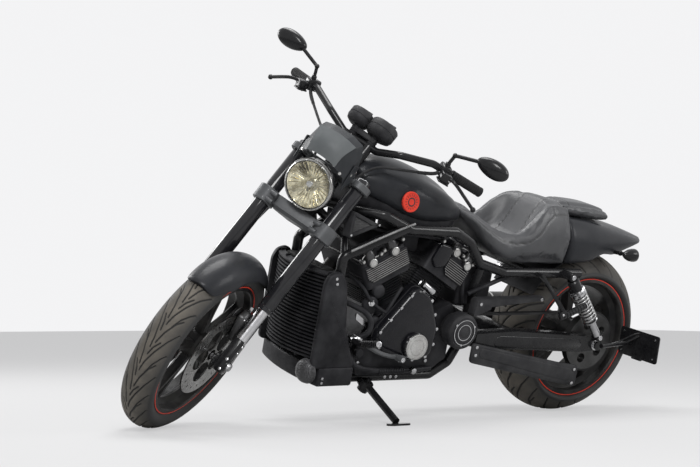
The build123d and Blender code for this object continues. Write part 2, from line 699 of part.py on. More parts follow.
with BuildPart() as air_scoops:
    for side in (-1, 1):
        side_prism([(1226, 806), (1104, 758), (1232, 708)], side * 128, side * 168, corner=6)
        rod((1134, 148 * side, 752), (1085, 160 * side, 786), 7)
    add(steering_room.part, mode=Mode.SUBTRACT)
    less(frame)

seat_low = rear_rail_z + rail_radius + seat_gap
# columns as for the tank; a crown below the top edge makes the dish
seat_sections = ((692, 790, 80, 92, 806, 58, 826, 838), (610, 700, 140, 152, 742, 108, 776, 764),
                 (500, 634, 152, seat_half, 690, 138, 736, 686), (380, seat_low, 150, seat_half, 710, 140, 792, 700),
                 (290, seat_low, 148, 165, 730, 128, 848, 842), (196, seat_low, 140, 156, 728, 108, 838, 850))
with BuildPart() as rider_seat:
    loft([body_section(*section) for section in seat_sections])
    less(frame)

pad_sections = ((192, 800, 70, 78, 820, 66, 842, 846), (60, 790, 78, 86, 808, 74, 830, 838),
                (-72, 782, 58, 66, 794, 56, 806, 812))
with BuildPart() as pillion_pad:
    loft([body_section(*section) for section in pad_sections])

tail_sections = ((194, seat_low, 150, 154, 715, 104, 796, 800), (60, 626, 134, 146, 706, 96, 786, 789),
                 (-90, 650, 98, 108, 708, 70, 752, 770), (-230, 676, 54, 62, 702, 42, 722, 736),
                 (-322, 684, 12, 16, 694, 12, 704, 710))
with BuildPart() as tail_section:
    loft([body_section(*section) for section in tail_sections])
    rod(rear_axle_at - left_way * (rear_tyre_half + 8), rear_axle_at + left_way * (rear_tyre_half + 8),
        rear_tyre_radius + 14, mode=Mode.SUBTRACT)

with BuildPart() as rear_lamps:
    for side in (-1, 1):
        rod((-98, 90 * side, 668), (-98, 150 * side, 676), 8)
        rod((-142, 172 * side, 677), (-72, 172 * side, 677), 26)
    less(tail_section)

# ================================================================ rear end
arm_end = rear_axle_at.X - 36
with BuildPart() as swingarm:
    for side in (-1, 1):
        side_prism([(pivot_x + 26, pivot_z - 30), (pivot_x + 26, pivot_z + 30), (420, 388),
                    (arm_end + 96, 362), (arm_end, 350), (arm_end, 300), (arm_end + 96, 292), (420, 308)],
                   side * (arm_y - arm_half) + side * 0.3, side * (arm_y + arm_half))
    with Locations((430, 0, 348)):
        Box(60, 2 * (arm_y - arm_half) + 2, 70)
    rod(rear_axle_at - left_way * 260, rear_axle_at + left_way * 260, axle_radius + seat_gap, mode=Mode.SUBTRACT)

with BuildPart() as rear_axle:
    rod(rear_axle_at - left_way * (arm_y + arm_half + 12), rear_axle_at + left_way * (arm_y + arm_half + 12),
        axle_radius)

shock_top = Vector(218, 212, 599)
shock_low = Vector(rear_axle_at.X + 14, 212, 362)
with BuildPart() as shock_bodies:
    for side in (-1, 1):
        a = Vector(shock_top.X, shock_top.Y * side, shock_top.Z)
        b = Vector(shock_low.X, shock_low.Y * side, shock_low.Z)
        way = (a - b).normalized()
        rod(b, a, 9)
        rod(a - way * 80, a - way * 14, 24)
        rod(b + way * 20, b + way * 90, 16)
        for end, seat in ((a, rear_rail_half + rail_radius), (b, arm_y + arm_half)):
            rod(Vector(end.X, side * (seat + seat_gap), end.Z), end + left_way * side * 15, 16)

coil_radius = 27.0
wire_radius = 5.0
with BuildPart() as shock_springs:
    for side in (-1, 1):
        a = Vector(shock_top.X, shock_top.Y * side, shock_top.Z)
        b = Vector(shock_low.X, shock_low.Y * side, shock_low.Z)
        way = (a - b).normalized()
        for turn in range(9):
            with BuildSketch(Plane(origin=b + way * (94 + turn * 15), z_dir=way)):
                Circle(coil_radius + wire_radius)
            extrude(amount=9)
        rod(b + way * 90, a - way * 80 - way * 0.3, 16)
        rod(b + way * 80, a - way * 70, 9.3, mode=Mode.SUBTRACT)

belt_low_y = belt_y - belt_width / 2
with BuildPart() as drive_belt:
    def belt_face(extra):
        front = (-pulley_x, pulley_z)
        rear = (-rear_axle_at.X, rear_axle_at.Z)
        with BuildSketch(side_plane(belt_low_y)) as hull:
            with Locations(front):
                Circle(front_pulley_radius + extra)
            with Locations(rear):
                Circle(rear_pulley_radius + extra)
            make_hull()
        return hull.sketch
    extrude(belt_face(0.4 + belt_thickness), amount=belt_width)
    extrude(belt_face(0.4), amount=belt_width, mode=Mode.SUBTRACT)
    rod((pulley_x, belt_low_y, pulley_z), (pulley_x, belt_low_y + belt_width, pulley_z), front_pulley_radius)

guard_end = rear_axle_at.X + 86
with BuildPart() as belt_guards:
    outer = belt_y + belt_width / 2 + 2
    rod((pulley_x, outer, pulley_z), (pulley_x, outer + 52, pulley_z), 66)
    side_prism([(634, 274), (634, 348), (guard_end + 94, 262), (guard_end, 250), (guard_end, 168),
                (guard_end + 94, 182)],
               arm_y + arm_half + 12, arm_y + arm_half + 24)
    side_prism([(640, 440), (630, 505), (300, 512), (300, 496), (560, 470)], arm_y - 20, arm_y + 12)

plate_at = Vector(rear_axle_at.X - 190, 240, 335)
with BuildPart() as plate_holder:
    with BuildSketch(Plane(origin=plate_at, x_dir=(0, 1, 0.08), z_dir=(-1, 0, 0))):
        Rectangle(205, 110)
        with Locations((-70, 36), (70, 36)):
            Circle(3.5, mode=Mode.SUBTRACT)
    extrude(amount=6)
    axle_end = rear_axle_at + left_way * (arm_y + arm_half + 12 + seat_gap)
    rod((plate_at.X - 1, 203, plate_at.Z), axle_end + Vector(-14, 9.7, 0), 9)
    rod(axle_end, axle_end + left_way * 8, 18)

with BuildPart() as number_plate:
    with BuildSketch(Plane(origin=plate_at - Vector(6.3, 0, 0), x_dir=(0, 1, 0.08), z_dir=(-1, 0, 0))):
        Rectangle(190, 100)
        with Locations((-70, 36), (70, 36)):
            Circle(3.5, mode=Mode.SUBTRACT)
    extrude(amount=2)

with BuildPart() as exhaust:
    for z, rear_x in ((252, -40), (352, 60)):
        rod((620, -262, z), (rear_x, -262, z), 46)
        rod((480, -262, z), (rear_x - 1, -262, z), 40, mode=Mode.SUBTRACT)
    tube(header_front, header_radius, 36)
    tube(header_rear, header_radius - 2, 22)
    less(front_cylinder, rear_cylinder)

with BuildPart() as foot_controls:
    tube([(1199, 142, 350), (1140, 142, 350), (1130, 214, 352)], 11, 20)
    rod((1130, 206, 352), (1150, 330, 392), 13)
    tube([(1134, 232, 360), (1092, 256, 338), (1010, 262, 320)], 8, 14)
    rod((1010, 246, 320), (1010, 300, 322), 11)
    tube([(350, 166, 596), (350, 198, 596), (334, 238, 560), (262, 264, 470)], 9, 14)
    rod((270, 264, 461), (165, 264, 505), 13)
    less(frame)
    mirror(about=Plane.XZ)

with BuildPart() as rear_caliper:
    with BuildSketch(side_plane(-(128 - 12))):
        with Locations((-rear_axle_at.X, 0)):
            Polygon((-168, 300), (-148, 258), (-40, 200), (-10, 240), (-80, 330), align=None)
    extrude(amount=-42)
    with BuildSketch(side_plane(-126.5)):
        with Locations((-rear_axle_at.X, rear_axle_at.Z)):
            Circle(rear_disc_radius + 3)
    extrude(amount=-disc_thickness - 3, mode=Mode.SUBTRACT)
    side_prism([(rear_axle_at.X + x, z) for x, z in ((20, 296), (20, 330), (100, 330), (100, 296))],
               -(arm_y - arm_half - 10), -(arm_y - arm_half))


# ================================================================ parked stance
def tyre_height(place, axle, radius, crown):
    """Height of a leaning tyre's lowest point above Z = 0."""
    centre = (place * Pos(*axle)).position
    side = (place * Pos(*(axle + left_way))).position - centre
    return centre.Z - (radius - crown) * sqrt(1 - side.Z ** 2) - crown


def chassis_at(pitch):
    """Chassis leaning on its stand with its rear tyre on the ground, pitched nose-down."""
    place = Rot(-parked_lean, 0, 0) * Rot(0, pitch, 0) * Pos(*(-rear_axle_at))
    return Pos(0, 0, -tyre_height(place, rear_axle_at, rear_tyre_radius, rear_crown)) * place


steer_frame = steer_plane(0).location
steer_turn = steer_frame * Rot(0, 0, steering_stop) * steer_frame.inverse()
low, high = -4.0, 4.0
for step in range(40):
    middle = (low + high) / 2
    front = tyre_height(chassis_at(middle) * steer_turn, front_axle_at, front_tyre_radius, front_crown)
    if front > 0:
        low = middle
    else:
        high = middle
parked_pitch = (low + high) / 2
chassis_place = chassis_at(parked_pitch)
steering_place = chassis_place * steer_turn

# the stand is modelled in its parked place: foot flat on Z = 0, ahead of and outside its pivot
stand_pivot = (chassis_place * Pos(1030, 146, 182)).position
stand_way = ((chassis_place * Pos(1030 - 200, 146 + 380, 182 + 900)).position - stand_pivot).normalized()
foot_at = Vector(1023, 275, 0)
foot_length = 92.0
foot_thickness = 7.0
with BuildPart() as side_stand:
    with BuildSketch(Plane.XY):
        with Locations((foot_at.X, foot_at.Y)):
            SlotOverall(foot_length, 40)
    extrude(amount=foot_thickness)
    rod(stand_pivot, (foot_at.X, foot_at.Y - 12, foot_thickness + 5), 13)
    rod(stand_pivot - stand_way * 12, stand_pivot + stand_way * 12, 24)
    rod(stand_pivot - stand_way * 20, stand_pivot + stand_way * 20, 9.3, mode=Mode.SUBTRACT)
with BuildPart() as stand_bracket:
    rod(stand_pivot - stand_way * 26, stand_pivot + stand_way * 26, 9)
    rod(stand_pivot - stand_way * 12.3, stand_pivot - stand_way * 26, 20)
    rod(stand_pivot - stand_way * 21, (chassis_place * Pos(1030, cradle_half + 4, cradle_z - 17)).position, 7)
stand_bracket.part = chassis_place.inverse() * stand_bracket.part
frame.part = frame.part + stand_bracket.part

upright = Location((0, 0, 0))
chassis_nodes = dict(
    frame=frame, crankcase=crankcase, front_cylinder=front_cylinder, rear_cylinder=rear_cylinder,
    engine_trim=engine_trim, engine_covers=engine_covers, radiator=radiator,
    radiator_shroud=radiator_shroud, horn=horn, tank_cover=tank_cover, tank_badge=tank_badge,
    air_scoops=air_scoops, rider_seat=rider_seat, pillion_pad=pillion_pad, tail_section=tail_section,
    rear_lamps=rear_lamps, swingarm=swingarm, rear_axle=rear_axle, shock_bodies=shock_bodies,
    shock_springs=shock_springs, drive_belt=drive_belt, belt_guards=belt_guards,
    plate_holder=plate_holder, number_plate=number_plate, exhaust=exhaust,
    foot_controls=foot_controls, rear_caliper=rear_caliper)
steering_nodes = dict(
    fork_clamps=fork_clamps, fork_tubes=fork_tubes, fork_lowers=fork_lowers, front_axle=front_axle,
    front_fender=front_fender, headlight_shell=headlight_shell, headlight_lens=headlight_lens,
    headlight_cowl=headlight_cowl, instruments=instruments, handlebar=handlebar, grips=grips,
    hand_controls=hand_controls, mirrors=mirrors, front_calipers=front_calipers, cables=cables)
front_wheel_nodes = dict(front_wheel=front_wheel, front_tyre=front_tyre, front_discs=front_discs)
rear_wheel_nodes = dict(rear_wheel=rear_wheel, rear_tyre=rear_tyre, rear_disc=rear_disc,
                        rear_pulley=rear_pulley)
stand_nodes = dict(side_stand=side_stand)

for nodes, place in ((chassis_nodes, chassis_place), (steering_nodes, steering_place),
                     (front_wheel_nodes, steering_place), (rear_wheel_nodes, chassis_place),
                     (stand_nodes, upright)):
    for label, piece in nodes.items():
        piece.part = place * piece.part

all_nodes = {**chassis_nodes, **steering_nodes, **front_wheel_nodes, **rear_wheel_nodes, **stand_nodes}
boxes = [piece.part.bounding_box() for piece in all_nodes.values()]
middle_x = (min(b.min.X for b in boxes) + max(b.max.X for b in boxes)) / 2
middle_y = (min(b.min.Y for b in boxes) + max(b.max.Y for b in boxes)) / 2
to_origin = Pos(-middle_x, -middle_y, 0)

for label, piece in all_nodes.items():
    piece.part = to_origin * piece.part
    piece.part.label = label
    export_step(piece.part, f"parts/{label}.step")
print("pitch", round(parked_pitch, 3), "origin shift", round(middle_x, 2), round(middle_y, 2))
print("lowest", [(n, round(b.min.Z, 3)) for n, b in zip(all_nodes, boxes) if b.min.Z < 3])
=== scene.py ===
# Cruiser motorcycle on its side stand: finishes, tread, seat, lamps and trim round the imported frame.
import json
from math import atan2, cos, hypot, pi, radians, sin, sqrt

import bmesh
import bpy
import numpy as np
from mathutils import Matrix, Vector
from mathutils.bvhtree import BVHTree


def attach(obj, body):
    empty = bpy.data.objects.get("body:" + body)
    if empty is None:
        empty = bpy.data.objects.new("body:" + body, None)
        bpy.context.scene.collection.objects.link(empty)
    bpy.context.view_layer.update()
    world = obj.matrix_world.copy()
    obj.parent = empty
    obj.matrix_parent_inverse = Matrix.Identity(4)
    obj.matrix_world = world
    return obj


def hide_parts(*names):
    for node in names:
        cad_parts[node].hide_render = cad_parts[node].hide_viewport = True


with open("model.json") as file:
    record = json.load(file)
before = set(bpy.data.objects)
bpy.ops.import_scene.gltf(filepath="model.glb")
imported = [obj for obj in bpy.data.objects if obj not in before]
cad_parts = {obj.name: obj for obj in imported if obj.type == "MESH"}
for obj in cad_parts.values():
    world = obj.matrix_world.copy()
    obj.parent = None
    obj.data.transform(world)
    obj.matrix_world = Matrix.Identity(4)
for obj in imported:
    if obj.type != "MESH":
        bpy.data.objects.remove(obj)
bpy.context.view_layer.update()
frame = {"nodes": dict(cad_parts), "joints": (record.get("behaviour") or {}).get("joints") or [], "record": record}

nodes = frame["nodes"]
joints = {joint["name"]: joint for joint in frame["joints"]}

# ---- places: millimetres on the upright machine, as the solids are drawn
stance = {"rake": 34.0, "wheelbase": 1702.0, "axleHeight": 325.0}


def machineFrame(wheelJoint, axlePoint):
    # from the machine's millimetres to the parked place: the axle runs sideways and the steering axis is raked
    left = Vector(joints[wheelJoint]["axis"]).normalized()
    steer = Vector(joints["steering_turn"]["axis"]).normalized()
    ahead = left.cross(steer).normalized()
    rake = radians(stance["rake"])
    forward = ahead * cos(rake) - steer * sin(rake)
    up = ahead * sin(rake) + steer * cos(rake)
    turn = Matrix((forward, left, up)).transposed().to_4x4()
    place = Matrix.Translation(Vector(joints[wheelJoint]["pos_m"])) @ turn
    return place @ Matrix.Scale(0.001, 4) @ Matrix.Translation(-Vector(axlePoint))


rearAxle = Vector((0, 0, stance["axleHeight"]))
frontAxle = Vector((stance["wheelbase"], 0, stance["axleHeight"]))
chassisPlace = machineFrame("rear_wheel_spin", rearAxle)
steeringPlace = machineFrame("front_wheel_spin", frontAxle)
places = {"chassis": chassisPlace, "rear_wheel_set": chassisPlace, "steering": steeringPlace,
          "front_wheel_set": steeringPlace}


# ---- materials
def newMaterial(name):
    material = bpy.data.materials.new(name)
    material.use_nodes = True
    tree = material.node_tree
    return material, tree, tree.nodes["Principled BSDF"]


def fill(tree, node, values):
    # each value is a number, a colour or vector, or another node's output
    for label, value in values.items():
        socket = node.inputs[label]
        if isinstance(value, bpy.types.NodeSocket):
            tree.links.new(value, socket)
        else:
            socket.default_value = (*value, 1) if socket.type == "RGBA" else value


def addNode(tree, kind, values, **settings):
    node = tree.nodes.new("ShaderNode" + kind)
    for name, value in settings.items():
        setattr(node, name, value)
    fill(tree, node, values)
    return node


def objectNoise(tree, scale, detail=3.0, roughness=0.55):
    where = addNode(tree, "TexCoord", {}).outputs["Object"]
    values = {"Scale": scale, "Detail": detail, "Roughness": roughness, "Vector": where}
    return addNode(tree, "TexNoise", values).outputs["Fac"]


def ramp(tree, source, low, high, first, last):
    values = {"Value": source, "From Min": low, "From Max": high, "To Min": first, "To Max": last}
    return addNode(tree, "MapRange", values).outputs["Result"]


def mixColour(tree, factor, first, last):
    return addNode(tree, "Mix", {0: factor, 6: first, 7: last}, data_type="RGBA").outputs[2]


def mathNode(tree, operation, first, second):
    return addNode(tree, "Math", {0: first, 1: second}, operation=operation).outputs["Value"]


def bumped(tree, height, strength, distance):
    return addNode(tree, "Bump", {"Strength": strength, "Distance": distance, "Height": height}).outputs["Normal"]


def newGroup(name, given, made):
    # shader node group with named sockets, built once and placed in each material that uses it
    group = bpy.data.node_groups.new(name, "ShaderNodeTree")
    for way, sockets in (("INPUT", given), ("OUTPUT", made)):
        for label, kind in sockets.items():
            group.interface.new_socket(name=label, in_out=way, socket_type="NodeSocket" + kind)
    return group, group.nodes.new("NodeGroupInput").outputs, group.nodes.new("NodeGroupOutput")


grainDepth = 0.0004


def wornSurface():
    # base colour with soft blotches, roughness that varies with a finer noise, and grain
    group, given, made = newGroup("wornSurface", {
        "Colour": "Color", "Worn Colour": "Color", "Least Roughness": "Float", "Most Roughness": "Float",
        "Grain Scale": "Float", "Grain Strength": "Float"}, {"Colour": "Color", "Roughness": "Float",
        "Normal": "Vector"})
    blotch = ramp(group, objectNoise(group, 14.0, 6.0), 0.35, 0.75, 0, 1)
    fine = objectNoise(group, 90.0, 5.0, 0.65)
    fill(group, made, {
        "Colour": mixColour(group, blotch, given["Colour"], given["Worn Colour"]),
        "Roughness": ramp(group, fine, 0.3, 0.7, given["Least Roughness"], given["Most Roughness"]),
        "Normal": bumped(group, objectNoise(group, given["Grain Scale"], 2.0), given["Grain Strength"], grainDepth)})
    return group


def ribRelief():
    # even ribs along a way, in the object's own metres
    group, given, made = newGroup("ribRelief", {"Way": "Vector", "Scale": "Float"}, {"Height": "Float"})
    where = addNode(group, "TexCoord", {}).outputs["Object"]
    reach = addNode(group, "VectorMath", {0: where, 1: given["Way"]}, operation="DOT_PRODUCT").outputs["Value"]
    spot = addNode(group, "CombineXYZ", {"X": reach}).outputs["Vector"]
    fill(group, made, {"Height": addNode(group, "TexWave", {"Vector": spot, "Scale": given["Scale"]}).outputs["Fac"]})
    return group


wornGroup, ribGroup = wornSurface(), ribRelief()


def paint(name, colour, wear, roughness, metallic=0.0, coat=0.0, grain=900.0, bump=0.0, spread=0.08, specular=0.12):
    material, tree, shader = newMaterial(name)
    worn = addNode(tree, "Group", {
        "Colour": colour, "Worn Colour": wear, "Least Roughness": max(roughness - spread, 0.02),
        "Most Roughness": roughness + spread, "Grain Scale": grain, "Grain Strength": bump},
        node_tree=wornGroup).outputs
    fill(tree, shader, {
        "Base Color": worn["Colour"], "Roughness": worn["Roughness"], "Metallic": metallic, "Coat Weight": coat,
        "Specular IOR Level": 0.5 if metallic > 0.9 else specular, "Coat Roughness": 0.06, "Coat IOR": 1.32})
    if bump:
        fill(tree, shader, {"Normal": worn["Normal"]})
    return material


finishes = {
    "frame_paint": paint("glossBlack", (0.008, 0.008, 0.009), (0.018, 0.018, 0.019), 0.28, coat=0.5),
    "engine_black": paint("engineBlack", (0.014, 0.014, 0.016), (0.04, 0.04, 0.043), 0.5, 0.25, bump=0.5),
    "satin_metal": paint("satinMetal", (0.55, 0.55, 0.54), (0.36, 0.35, 0.34), 0.3, 1.0, grain=500.0, bump=0.1),
    "gloss_cover": paint("glossCover", (0.006, 0.006, 0.008), (0.012, 0.012, 0.014), 0.16, coat=0.8, specular=0.05),
    "dark_plastic": paint("darkPlastic", (0.02, 0.02, 0.022), (0.05, 0.05, 0.052), 0.5, bump=0.5),
    "body_paint": paint("satinBody", (0.018, 0.019, 0.022), (0.026, 0.027, 0.03), 0.36, spread=0.04, coat=0.1),
    "badge_red": paint("badgeRed", (0.72, 0.062, 0.035), (0.55, 0.04, 0.03), 0.35),
    "seat_leather": paint("seatCover", (0.035, 0.035, 0.038), (0.07, 0.068, 0.066), 0.5, bump=0.7),
    "lamp_lens": paint("smokedLens", (0.03, 0.01, 0.01), (0.06, 0.012, 0.012), 0.12, coat=0.8),
    "steel": paint("brightSteel", (0.55, 0.55, 0.56), (0.35, 0.35, 0.36), 0.22, 1.0),
    "spring_steel": paint("springSilver", (0.4, 0.4, 0.4), (0.2, 0.2, 0.2), 0.3, 0.9),
    "belt_rubber": paint("cableRubber", (0.014, 0.014, 0.015), (0.035, 0.035, 0.036), 0.55, bump=0.3),
    "plate_face": paint("plateDark", (0.03, 0.03, 0.03), (0.06, 0.06, 0.06), 0.4),
    "exhaust_black": paint("exhaustBlack", (0.014, 0.014, 0.015), (0.05, 0.046, 0.042), 0.38, 0.3),
    "caliper_metal": paint("caliperDark", (0.05, 0.05, 0.052), (0.11, 0.11, 0.11), 0.35, 0.7),
    "clamp_metal": paint("clampGrey", (0.075, 0.078, 0.082), (0.11, 0.112, 0.116), 0.4, 0.2, bump=0.3),
    "fork_black": paint("forkBlack", (0.01, 0.01, 0.012), (0.022, 0.022, 0.024), 0.12, coat=1.0),
    "lens_glass": paint("lensGlass", (0.9, 0.9, 0.88), (0.85, 0.85, 0.83), 0.05),
    "cowl_paint": paint("cowlGrey", (0.026, 0.028, 0.031), (0.038, 0.04, 0.043), 0.4, bump=0.15),
    "grip_rubber": paint("gripRubber", (0.014, 0.014, 0.015), (0.03, 0.03, 0.03), 0.65, bump=0.5),
    "wheel_paint": paint("wheelBlack", (0.014, 0.014, 0.015), (0.05, 0.048, 0.045), 0.35),
    "tyre": paint("tyreRubber", (0.03, 0.029, 0.027), (0.12, 0.105, 0.085), 0.72, bump=0.6),
    "disc_steel": paint("discSteel", (0.24, 0.238, 0.234), (0.13, 0.125, 0.12), 0.3, 1.0),
    "pulley_metal": paint("pulleyDark", (0.05, 0.05, 0.05), (0.1, 0.1, 0.1), 0.35, 0.7),
}
for entry in frame["record"]["subparts"]:
    shape = nodes[entry["node"]]
    shape.data.materials.clear()
    shape.data.materials.append(finishes[entry["material_slot"]])
print("stage: materials on the frame")


# ---- shared mesh helpers: pieces are drawn in the machine's millimetres, then put in place
def makePiece(bm, name, finish, body, smooth=35.0, level=0, replaced=(), place=None):
    bmesh.ops.transform(bm, matrix=place or places[body], verts=bm.verts)
    bmesh.ops.recalc_face_normals(bm, faces=bm.faces)
    mesh = bpy.data.meshes.new(name)
    bm.to_mesh(mesh)
    bm.free()
    mesh.shade_smooth()
    mesh.set_sharp_from_angle(angle=radians(smooth))
    mesh.materials.append(finishes[finish])
    piece = bpy.data.objects.new(name, mesh)
    bpy.context.scene.collection.objects.link(piece)
    if level:
        rounder = piece.modifiers.new("rounder", "SUBSURF")
        rounder.levels = rounder.render_levels = level
    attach(piece, body)
    if replaced:
        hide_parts(*replaced)
    return piece


def addLoop(bm, points, closed=True):
    verts = [bm.verts.new(point) for point in points]
    pairs = list(zip(verts, verts[1:] + verts[:1])) if closed else list(zip(verts, verts[1:]))
    return verts, [bm.edges.new(pair) for pair in pairs]


def bridge(bm, rings, capped=True):
    # rings of equal length joined in turn, with flat ends
    loops = [addLoop(bm, ring) for ring in rings]
    for (_, first), (_, second) in zip(loops, loops[1:]):
        bmesh.ops.bridge_loops(bm, edges=first + second)
    if capped:
        bmesh.ops.contextual_create(bm, geom=loops[0][1])
        bmesh.ops.contextual_create(bm, geom=loops[-1][1])


def spinRing(bm, centre, profile, steps, axis=(0, 1, 0), closed=True):
    # profile of (sideways, radius) turned round an axle that runs along Y
    points = [Vector(centre) + Vector((0, side, radius)) for side, radius in profile]
    verts, edges = addLoop(bm, points, closed)
    bmesh.ops.spin(bm, geom=verts + edges, cent=centre, axis=axis, angle=2 * pi, steps=steps, use_merge=True)


def along(start, end):
    # turns +Z onto the way from start to end and moves there
    way = Vector(end) - Vector(start)
    return Matrix.Translation(Vector(start)) @ way.to_track_quat("Z", "Y").to_matrix().to_4x4()


def addRod(bm, start, end, radius, tip=None, sides=24, edge=0.0):
    length = (Vector(end) - Vector(start)).length
    place = along(start, end) @ Matrix.Translation((0, 0, length / 2))
    made = bmesh.ops.create_cone(bm, cap_ends=True, segments=sides, radius1=radius,
                                 radius2=radius if tip is None else tip, depth=length, matrix=place)
    if edge:
        rims = [e for v in made["verts"] for e in v.link_edges if len(e.link_faces) == 2
                and any(len(face.verts) > 4 for face in e.link_faces)]
        bmesh.ops.bevel(bm, geom=list(set(rims)), offset=edge, segments=2, profile=0.5, affect="EDGES", material=-1)
    return made["verts"]


def addBolt(bm, at, way, radius=6.0, height=5.0, sunk=True):
    # cap screw with a socket
    at, way = Vector(at), Vector(way).normalized()
    addRod(bm, at - way * 2, at + way * height, radius, sides=18, edge=radius * 0.18)
    if sunk:
        addRod(bm, at + way * height, at + way * (height + 0.6), radius * 0.52, radius * 0.42, sides=6)


def addBox(bm, middle, size, turn=None, edge=0.0, segments=2):
    place = Matrix.Translation(Vector(middle)) @ (turn or Matrix.Identity(4)) @ Matrix.Diagonal((*size, 1))
    made = bmesh.ops.create_cube(bm, size=1, matrix=place)
    if edge:
        edges = list({e for v in made["verts"] for e in v.link_edges})
        bmesh.ops.bevel(bm, geom=edges, offset=edge, segments=segments, profile=0.5, affect="EDGES", material=-1)


def addPlate(bm, outline, place, depth, edge=0.0, segments=2):
    # flat outline pushed out along its own +Z
    verts = [bm.verts.new(place @ Vector((x, y, 0))) for x, y in outline]
    face = bm.faces.new(verts)
    pushed = bmesh.ops.extrude_face_region(bm, geom=[face])
    top = [g for g in pushed["geom"] if isinstance(g, bmesh.types.BMVert)]
    way = (place.to_3x3() @ Vector((0, 0, 1))) * depth
    bmesh.ops.translate(bm, verts=top, vec=way)
    if edge:
        rim = list({e for v in top for e in v.link_edges if all(w in top for w in e.verts)})
        bmesh.ops.bevel(bm, geom=rim, offset=edge, segments=segments, profile=0.5, affect="EDGES", material=-1)


def roundedOutline(width, height, corner, steps=5):
    points = []
    for quarter, (sx, sy) in enumerate(((1, 1), (-1, 1), (-1, -1), (1, -1))):
        for step in range(steps + 1):
            angle = pi / 2 * (quarter + step / steps)
            points.append((sx * (width / 2 - corner) + corner * cos(angle), sy * (height / 2 - corner)
                    + corner * sin(angle)))
    return points


def addPipe(bm, points, radius, sides=12, smoothness=6, cap=True):
    # round pipe through points, along a smooth curve
    curve = bpy.data.curves.new("route", "CURVE")
    curve.dimensions = "3D"
    curve.resolution_u = smoothness
    curve.bevel_depth = radius
    curve.bevel_resolution = max(sides // 4 - 1, 1)
    curve.use_fill_caps = cap
    spline = curve.splines.new("NURBS")
    spline.points.add(len(points) - 1)
    for point, place in zip(spline.points, points):
        point.co = (*place, 1)
    spline.use_endpoint_u = True
    spline.order_u = 3
    holder = bpy.data.objects.new("route", curve)
    mesh = bpy.data.meshes.new_from_object(holder)
    bm.from_mesh(mesh)
    bpy.data.objects.remove(holder)
    bpy.data.curves.remove(curve)
    bpy.data.meshes.remove(mesh)


def bothSides(points, side):
    return [(x, y * side, z) for x, y, z in points]


def sided(point, side):
    return Vector((point[0], point[1] * side, point[2]))


# ---- tyres: a spun section whose tread is cut along repeating strokes
frontTyre = {"radius": 325.0, "half": 60.0, "crown": 62.0, "rim": 241.0, "rimHalf": 48.0, "lip": 10.0,
             "treadSteps": 66, "turnSteps": 1000, "pitches": 12, "depth": 3.6, "strokeHalf": 2.1}
rearTyre = {"radius": 325.0, "half": 120.0, "crown": 130.0, "rim": 228.6, "rimHalf": 107.0, "lip": 10.0,
            "treadSteps": 84, "turnSteps": 760, "pitches": 11, "depth": 4.0, "strokeHalf": 2.8}
# strokes as (along the tread as a share of the pitch, across as a share of the half tread)
treadStrokes = [
    [(0.00, 0.03), (0.20, 0.10), (0.45, 0.30), (0.74, 0.62), (0.96, 0.97)],
    [(0.36, 0.04), (0.52, 0.14), (0.66, 0.34)],
    [(0.02, 0.36), (0.22, 0.52), (0.40, 0.80), (0.47, 0.97)],
    [(0.62, 0.10), (0.86, 0.22), (1.10, 0.46), (1.22, 0.70)],
]


def strokeDistance(alongTread, across, pitch, width):
    # distance in mm from each point of the tread to the nearest stroke
    best = np.full(alongTread.shape, 1e6)
    for stroke in treadStrokes:
        for (s0, w0), (s1, w1) in zip(stroke, stroke[1:]):
            start = np.array((s0 * pitch, w0 * width))
            way = np.array((s1 * pitch, w1 * width)) - start
            for shift in (-pitch, 0.0, pitch):
                px = alongTread - start[0] - shift
                py = across - start[1]
                share = np.clip((px * way[0] + py * way[1]) / (way @ way), 0, 1)
                best = np.minimum(best, np.hypot(px - share * way[0], py - share * way[1]))
    return best


